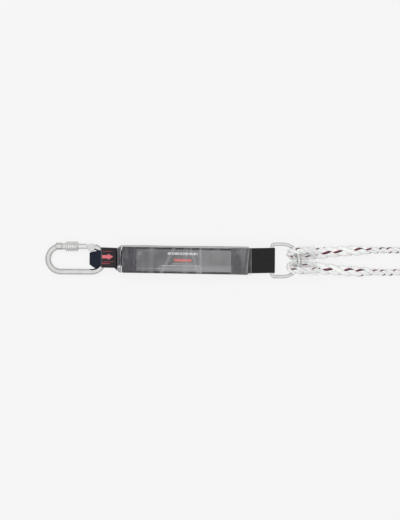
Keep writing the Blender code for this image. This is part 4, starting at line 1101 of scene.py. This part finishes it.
def rounded(low, high, corner, across=22, upright=8):
    """A closed round-cornered outline between two corners in Y and Z."""
    (y0, z0), (y1, z1) = np.add(low, corner), np.subtract(high, corner)
    centres = ((y1, z1), (y0, z1), (y0, z0), (y1, z0))
    ring = []
    for k, centre in enumerate(centres):
        ring += arc(centre, corner, 90 * k, 90 * k + 90, 4)
        (y, z), (to_y, to_z) = ring[-1], arc(centres[(k + 1) % 4], corner, 90 * k + 90, 90 * k + 91, 1)[0]
        count = (across, upright)[k % 2]
        ring += [(y + (to_y - y) * i / count, z + (to_z - z) * i / count) for i in range(1, count)]
    return ring


def pack_cover():
    """The clear film round the stack, low and narrow at its mouth, wrinkled on top."""
    marks = [PACK_START - MOUTH, PACK_START - MOUTH / 2, PACK_START, PACK_END, PACK_END + 4.2]
    side = pack_y(0) - TEAR_WIDTH / 2 - GAP - 0.5
    sides, reach = [-MOUTH_HALF, side + 2.0, side, side, side], [0.0, 0.6, 1.0, 1.0, 1.0]
    tops = [12.4, PACK_HEIGHT - 7, PACK_HEIGHT, PACK_HEIGHT, PACK_HEIGHT]
    lows = [0.0, 0.0, 0.0, 0.0, LAST_LAYER_Z - TAIL_OFFSET - WEBBING / 2 - 2.1]
    xs = [*np.linspace(marks[0], PACK_START, 16)[:-1], *np.linspace(PACK_START, PACK_END, 110)[:-1]]
    sections = []
    for x in [*xs, *np.linspace(PACK_END, marks[-1], 8)]:
        left, full, top, low = (float(np.interp(x, marks, values)) for values in (sides, reach, tops, lows))
        left += (pack_y(x) - pack_y(0)) * full
        right = MOUTH_HALF + (seam_y(x)[0] - MOUTH_HALF) * full
        ends = math.exp(-abs(x - PACK_START) / 14.0) + math.exp(-abs(x - PACK_END) / 9.0)
        ring = []
        for y, z in rounded((left, low), (right, top), 1.6):
            lift = (0.25 + 0.7 * ends) * wrinkle(x, y * 0.6 + z, 9.0, 1.0) + 0.25 * wrinkle(x, y, 3.5, 2.0)
            ring.append((x, y, max(low, z + min(lift, 0.5)) if z > top - 0.8 else z))
        sections.append(ring)
    obj = sleeve_shell("pack_cover", sections, FILM, film_look(), "clear_cover")
    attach(obj, "lanyard")


# Bands of glare over the film: from, to, strength, and how far they slant to one side
GLARE = (
    (46.4, 50.2, 0.15, 0.0),
    (50.0, 64.0, 0.03, 0.0),
    (-11.0, -5.0, 0.1, -0.5),
    (35.0, 38.5, 0.1, 0.3),
    (100.0, 131.0, 0.05, 0.0),
    (PACK_START - 9.0, PACK_START - 1.0, 0.03, 0.0),
    (PACK_START - 6.3, PACK_START - 5.0, 0.16, 0.0),
    (PACK_START - 2.5, PACK_START - 1.2, 0.1, 0.0),
    (130.4, 131.6, 0.2, -0.1),
    (136.0, 138.0, 0.1, 0.0),
)


def film_haze_and_glare(tree, x, y, streak):
    """How white the film is: haze in blotches, haze and painted glare in its streaks and creased ends,
    painted glare in bands.
    """
    blotch = ramp(cloud(tree, 45.0, 4.0), 0.5, 0.7)
    crease = ramp(cloud(tree, 150.0, 2.0, (1.0, 0.2, 0.2)), 0.55, 0.68)
    left_end = band(x, PACK_START, PACK_START + 7, 6.0)
    right_end = band(x, PACK_END - 7, PACK_END - 2, 3.0)
    ends = calc("MAXIMUM", left_end, right_end)
    # Whiter along streaks and in the creases of the crumpled ends, partly haze and partly painted glare; the
    # blotches are haze.
    haze_and_glare = times(ramp(streak, 0.52, 0.7), 0.07)
    haze_and_glare = heaped(haze_and_glare, blotch, 0.05)
    haze_and_glare = heaped(haze_and_glare, times(crease, ends), 0.2)
    # Painted glare in bands over the film.
    for low, high, amount, slant in GLARE:
        over = calc("MULTIPLY_ADD", y, slant, x)
        haze_and_glare = heaped(haze_and_glare, band(over, low, high, 0.7), amount)
    beside = ramp(calc("ABSOLUTE", y), 3.0, 11.0)
    fold = times(band(x, PACK_START - 2.5, PACK_START - 1.2, 0.7), beside)
    haze_and_glare = heaped(haze_and_glare, fold, 0.45)
    return heaped(haze_and_glare, rectangle(x, y, (-24.0, -21.0), (104.0, -10.0), 1.5), 0.07)


def film_look():
    """Clear film: nearly unseen where it lies flat, with doubled corners and painted shade over the mouth at
    its left end.
    """
    look, tree, shader = new_look("pack_film", Roughness=0.1, IOR=1.5)
    x, y, _ = add(tree, "SeparateXYZ", {0: place_of(tree)}).outputs
    x, y = times(x, 1 / MM), times(y, 1 / MM)
    streak = cloud(tree, 70.0, 3.0, (1.0, 0.14, 0.14))
    start, end = PACK_START - MOUTH, PACK_START - 1.6
    doubled = rectangle(x, y, (start, 14.6), (end, 24.0), 0.8)
    under = rectangle(x, y, (start, -24.0), (end, -14.6), 0.8)
    # Painted shade: the film's mouth is a dark, nearly opaque band at its left end.
    bow = calc("MULTIPLY_ADD", times(y, y), 0.004, x)
    mouth = ramp(times(bow, -1.0), -PACK_START + 6.5, -PACK_START + 7.1)
    haze_and_glare = film_haze_and_glare(tree, x, y, streak)
    haze_and_glare = heaped(haze_and_glare, doubled, 0.7)
    haze_and_glare = heaped(haze_and_glare, under, 0.35)
    haze_and_glare = calc("MAXIMUM", haze_and_glare, times(mouth, 0.97))
    tree.links.new(plus(haze_and_glare, 0.025, clamp=True), shader.inputs["Alpha"])
    tone = blend_colours(doubled, (0.6, 0.59, 0.62), (0.16, 0.16, 0.165))
    tone = blend_colours(times(under, 0.4), tone, (0.25, 0.25, 0.255))
    tree.links.new(blend_colours(mouth, tone, (0.012, 0.012, 0.013)), shader.inputs["Base Color"])
    bump(tree, shader, plus(cloud(tree, 210.0, 3.0, (1.0, 0.45, 1.0)), streak), 0.5)
    return look


def pack_seam():
    """The film's welded edge, a doubled strip along the +Y side."""
    xs = np.linspace(PACK_START - 8.4, PACK_END - 1, 124)
    rings = []
    for x in xs:
        full = max(0.0, min(1.0, (x - PACK_START + MOUTH) / MOUTH))
        wall, inner = seam_y(x)
        edge = MOUTH_HALF + (wall - MOUTH_HALF) * full
        top = 13.0 + (PACK_HEIGHT - 13.0) * full
        wave = 0.35 * wrinkle(x, 0.0, 14.0, 4.0)
        inner = edge + (inner - wall) + 0.3 * wrinkle(x, 3.0, 26.0, 5.0)
        ring = [(inner, 0.25), (inner + 0.5, 0.75 + wave), (edge - 1.0, 0.8 + wave), (edge + 0.5, 0.2 + wave)]
        ring += [(edge + 0.8, -1.2), (edge + 0.75, -4.0), (edge + 0.1, -4.3), (edge + 0.1, -1.2)]
        ring += [(edge - 0.5, 0.1), (edge - 1.6, 0.25)]
        rings.append([(x, y, top + z) for y, z in ring])
    obj = piece("pack_seam", [(loft(np.array(rings), xs, np.linspace(0, 8, 11)), 0)], [SEAM], 60.0)
    settle(obj, "clear_film")


def label():
    """The grey printed sheet, bare but for plain rules, a bar and a square."""
    low = LAST_LAYER_Z + TEAR_PLY / 2 + GAP
    xs, ys = np.linspace(LABEL_START, LABEL_END, 84), np.linspace(-LABEL_WIDTH / 2, LABEL_WIDTH / 2, 22)
    rings = []
    for x in xs:
        over = [(x, pack_y(x) + y, low + 0.35 + 0.12 * wrinkle(x, y, 12.0, 8.0)) for y in ys]
        under = [(x, pack_y(x) + y, low) for y in ys[::-1]]
        rings.append(over + under)
    v = np.concatenate([ys, ys[::-1], ys[:1]]) + LABEL_WIDTH / 2
    obj = piece("label", [(loft(np.array(rings), xs - LABEL_START, v), 0)], [label_look()], 60.0)
    settle(obj, "label", "label_sheet")


def printed(u, v, base, marks, colour):
    """Bars and rules on a base; each mark has two corners, a strength, and the seed and size of its gaps."""
    for low, high, strength, gaps in marks:
        mask = times(rectangle(u, v, low, high), strength)
        if gaps:
            mask = times(mask, dashes(u, *gaps))
        base = blend_colours(mask, base, colour)
    return base


def label_look():
    """Grey sheet, lighter to the right, with a red bar, pale rules, two border lines and a square."""
    look, tree, shader = new_look("label_print", Roughness=0.42, Specular_IOR_Level=0.2)
    u, v = laid(tree)
    middle = LABEL_WIDTH / 2
    cloudy = spread(cloud(tree, 60.0, 4.0), -0.25, 0.25)
    light = plus(ramp(u, 35.0, 110.0), cloudy, clamp=True)
    base = blend_colours(light, (0.115, 0.111, 0.114), (0.185, 0.18, 0.183))
    lower = times(rectangle(u, v, (36.0, 1.0), (163.0, 9.0), 3.0), 0.5)
    base = blend_colours(lower, base, (0.27, 0.265, 0.27))
    bar = [((66.0, middle - 1.4), (96.0, middle + 2.6), 0.75, None)]
    base = printed(u, v, base, bar, (0.74, 0.15, 0.13))
    rules = [
        ((55.0, middle + 10.0), (107.0, middle + 14.2), 0.75, (3.0, 2.0)),
        ((62.0, middle - 6.2), (98.0, middle - 5.2), 0.55, (7.0, 1.3)),
        ((44.0, middle - 9.6), (112.0, middle - 8.4), 0.65, (11.0, 1.3)),
        ((3.0, middle - 14.8), (118.0, middle - 13.9), 0.28, (15.0, 0.9)),
    ]
    base = printed(u, v, base, rules, PRINT_WHITE)
    border = [((2.6, low), (162.0, low + 0.4), 0.5, None) for low in (1.6, LABEL_WIDTH - 2.0)]
    base = printed(u, v, base, border, (0.3, 0.3, 0.3))
    outside = rectangle(u, v, (3.0, middle + 9.0), (8.5, middle + 14.0))
    inside = rectangle(u, v, (3.6, middle + 9.6), (7.9, middle + 13.4))
    square = times(calc("SUBTRACT", outside, inside), 0.5)
    tree.links.new(blend_colours(square, base, PRINT_WHITE), shader.inputs["Base Color"])
    bump(tree, shader, cloud(tree, 300.0, 3.0), 0.05)
    return look


def bartack():
    """A zigzag of thread on the black loop's upper tail."""
    z = LAST_LAYER_Z + TEAR_PLY / 2 + GAP + 0.25
    points = [(PACK_END - 22 + k * 1.8, PACK_Y + (17.0 if k % 2 else -17.0), z) for k in range(8)]
    obj = piece("bartack", [(rod(evenly(np.array(points), 1.0), 0.25, 8), 0)], [THREAD])
    settle(obj, "thread", "ring_bartack")


def tab_print(tree, base):
    """A plain arrow and plain rules in red, and a pale woven edge at the left."""
    u, v = laid(tree)
    middle = TAB_WIDTH / 2 + 1.8
    shaft = rectangle(u, v, (1.6, middle - 2.9), (12.0, middle + 2.9), 0.2)
    half = times(calc("MULTIPLY_ADD", u, -1.0, 21.0), 5.4 / 9.0)
    off = calc("ABSOLUTE", calc("SUBTRACT", v, middle))
    within = ramp(calc("SUBTRACT", half, off), -0.2, 0.2)
    head = times(within, ramp(u, 11.8, 12.2))
    arrow = calc("MAXIMUM", shaft, head)
    base = blend_colours(times(arrow, 0.95), base, (0.66, 0.17, 0.19))
    rules = [
        ((2.0, middle + 9.0), (20.5, middle + 9.9), 0.5, (1.0, 1.3)),
        ((1.8, middle - 9.2), (21.8, middle - 8.2), 0.5, (5.0, 1.3)),
        ((1.8, middle - 12.6), (16.0, middle - 11.2), 0.75, (9.0, 2.0)),
    ]
    base = printed(u, v, base, rules, (0.55, 0.1, 0.12))
    selvedge = rectangle(u, v, (-1.0, 0.0), (0.55, 60.0), 0.1)
    return blend_colours(selvedge, base, (0.16, 0.19, 0.22))


def label_tab():
    """The printed sleeve round the navy loop, lower and a little wider towards the pack."""
    rise = ROD / 2 + GAP + WEBBING + GAP + TAB_SHEET
    full = CARABINER_Z + rise
    marks = [TAB_START, CARABINER_RIGHT + 3.5, CARABINER_RIGHT + 8.5, TAB_START + TAB_LENGTH]
    tops = [full, full, full - 1.3, full - 0.72 * (full - 11.6)]
    sections = []
    for x in np.linspace(TAB_START, TAB_START + TAB_LENGTH, 26):
        top = float(np.interp(x, marks, tops))
        t = (x - TAB_START) / TAB_LENGTH
        flare = max(0.0, (x - TAB_START - TAB_LENGTH + 4.0) / 4.0) ** 2
        low = TAB_Y - TAB_WIDTH / 2 - 3.4 * flare - 0.6 * t + 0.8
        high = TAB_Y + TAB_WIDTH / 2 - 0.7 * t + 0.2
        ring = []
        for y, z in rounded((low, CARABINER_Z - rise), (high, top), 1.4, 14, 4):
            ring.append((x, y, z + (0.15 * wrinkle(x, y, 6.0, 9.0) if z > top - 0.5 else 0.0)))
        sections.append(ring)
    obj = sleeve_shell("tab", sections, TAB_SHEET, TAB, "label_tab")
    flat_map(obj, TAB_START, TAB_Y - TAB_WIDTH / 2)
    bend(obj, "carabiner", *SWING_BEND_X)


def flat_map(obj, x, y):
    """Millimetres from a corner, as seen from above, with the print kept off the underside."""
    layer = obj.data.uv_layers["lay"]
    middle = sum(v.co.z for v in obj.data.vertices) / len(obj.data.vertices)
    for loop in obj.data.loops:
        co = obj.data.vertices[loop.vertex_index].co
        below = 60.0 if co.z < middle else 0.0
        layer.uv[loop.index].vector = (co.x / MM - x + below, co.y / MM - y)


TAB = webbing("tab_weave", (0.018, 0.017, 0.019), (0.048, 0.044, 0.05), 0.8, 1.0, 0.1, tab_print)
harness_loop()
ring_loop()
tear_webbing()
pack_cover()
pack_seam()
label()
bartack()
label_tab()


# Floor and light

def floor():
    """A ground that lights the lanyard as pale paper does, and is seen as an even glow with faint shadows."""
    mesh = bpy.data.meshes.new("floor")
    mesh.from_pydata([(-6, -6, 0), (6, -6, 0), (6, 6, 0), (-6, 6, 0)], [], [(0, 1, 2, 3)])
    obj = placed("floor", mesh)
    obj.location.z = -0.0005
    look = bpy.data.materials.new("floor")
    look.use_nodes = True
    tree = look.node_tree
    tree.nodes.clear()
    diffuse = add(tree, "BsdfDiffuse", {"Color": (0.8, 0.8, 0.8, 1.0)})
    seen = add(tree, "BsdfDiffuse", {"Color": (0.075, 0.075, 0.0755, 1.0)})
    glow = add(tree, "Emission", {"Color": (1.0, 1.0, 1.004, 1.0), "Strength": 0.838})
    both = add(tree, "AddShader", {0: seen.outputs[0], 1: glow.outputs[0]})
    path = add(tree, "LightPath").outputs
    through = calc("MAXIMUM", path["Is Glossy Ray"], path["Is Transmission Ray"])
    rays = calc("MAXIMUM", path["Is Camera Ray"], through)
    mixed = add(tree, "MixShader", {0: rays, 1: diffuse.outputs[0], 2: both.outputs[0]})
    add(tree, "OutputMaterial", {"Surface": mixed.outputs[0]})
    obj.data.materials.append(look)


def lamp(name, at, aim, size, energy):
    """A rectangular lamp that shiny metal doesn't mirror."""
    data = bpy.data.lights.new(name, "AREA")
    data.shape = "RECTANGLE"
    data.size, data.size_y = size
    data.energy = energy
    obj = placed(name, data)
    obj.visible_glossy = False
    obj.location = at
    obj.rotation_euler = (Vector(aim) - Vector(at)).to_track_quat("-Z", "Y").to_euler()


def daylight():
    """A white sky above a dim horizon, which the camera sees as one pale grey."""
    world = bpy.data.worlds.new("studio")
    bpy.context.scene.world = world
    world.use_nodes = True
    tree = world.node_tree
    tree.nodes.clear()
    height = add(tree, "SeparateXYZ", {0: add(tree, "TexCoord").outputs["Generated"]}).outputs[2]
    around = blend_colours(ramp(height, 0.1, 0.6), (0.16, 0.16, 0.165), (1.0, 1.0, 1.0))
    path = add(tree, "LightPath")
    colour = blend_colours(path.outputs["Is Camera Ray"], around, (0.913, 0.913, 0.92))
    back = add(tree, "Background", {"Color": colour, "Strength": 0.9})
    add(tree, "OutputWorld", {"Surface": back.outputs[0]})


floor()
daylight()
lamp("key", (-0.5, 0.9, 1.6), (0.1, 0, 0), (0.9, 0.5), 9.0)
lamp("strip", (0.15, -0.7, 1.3), (0.1, 0, 0), (0.5, 0.08), 3.0)
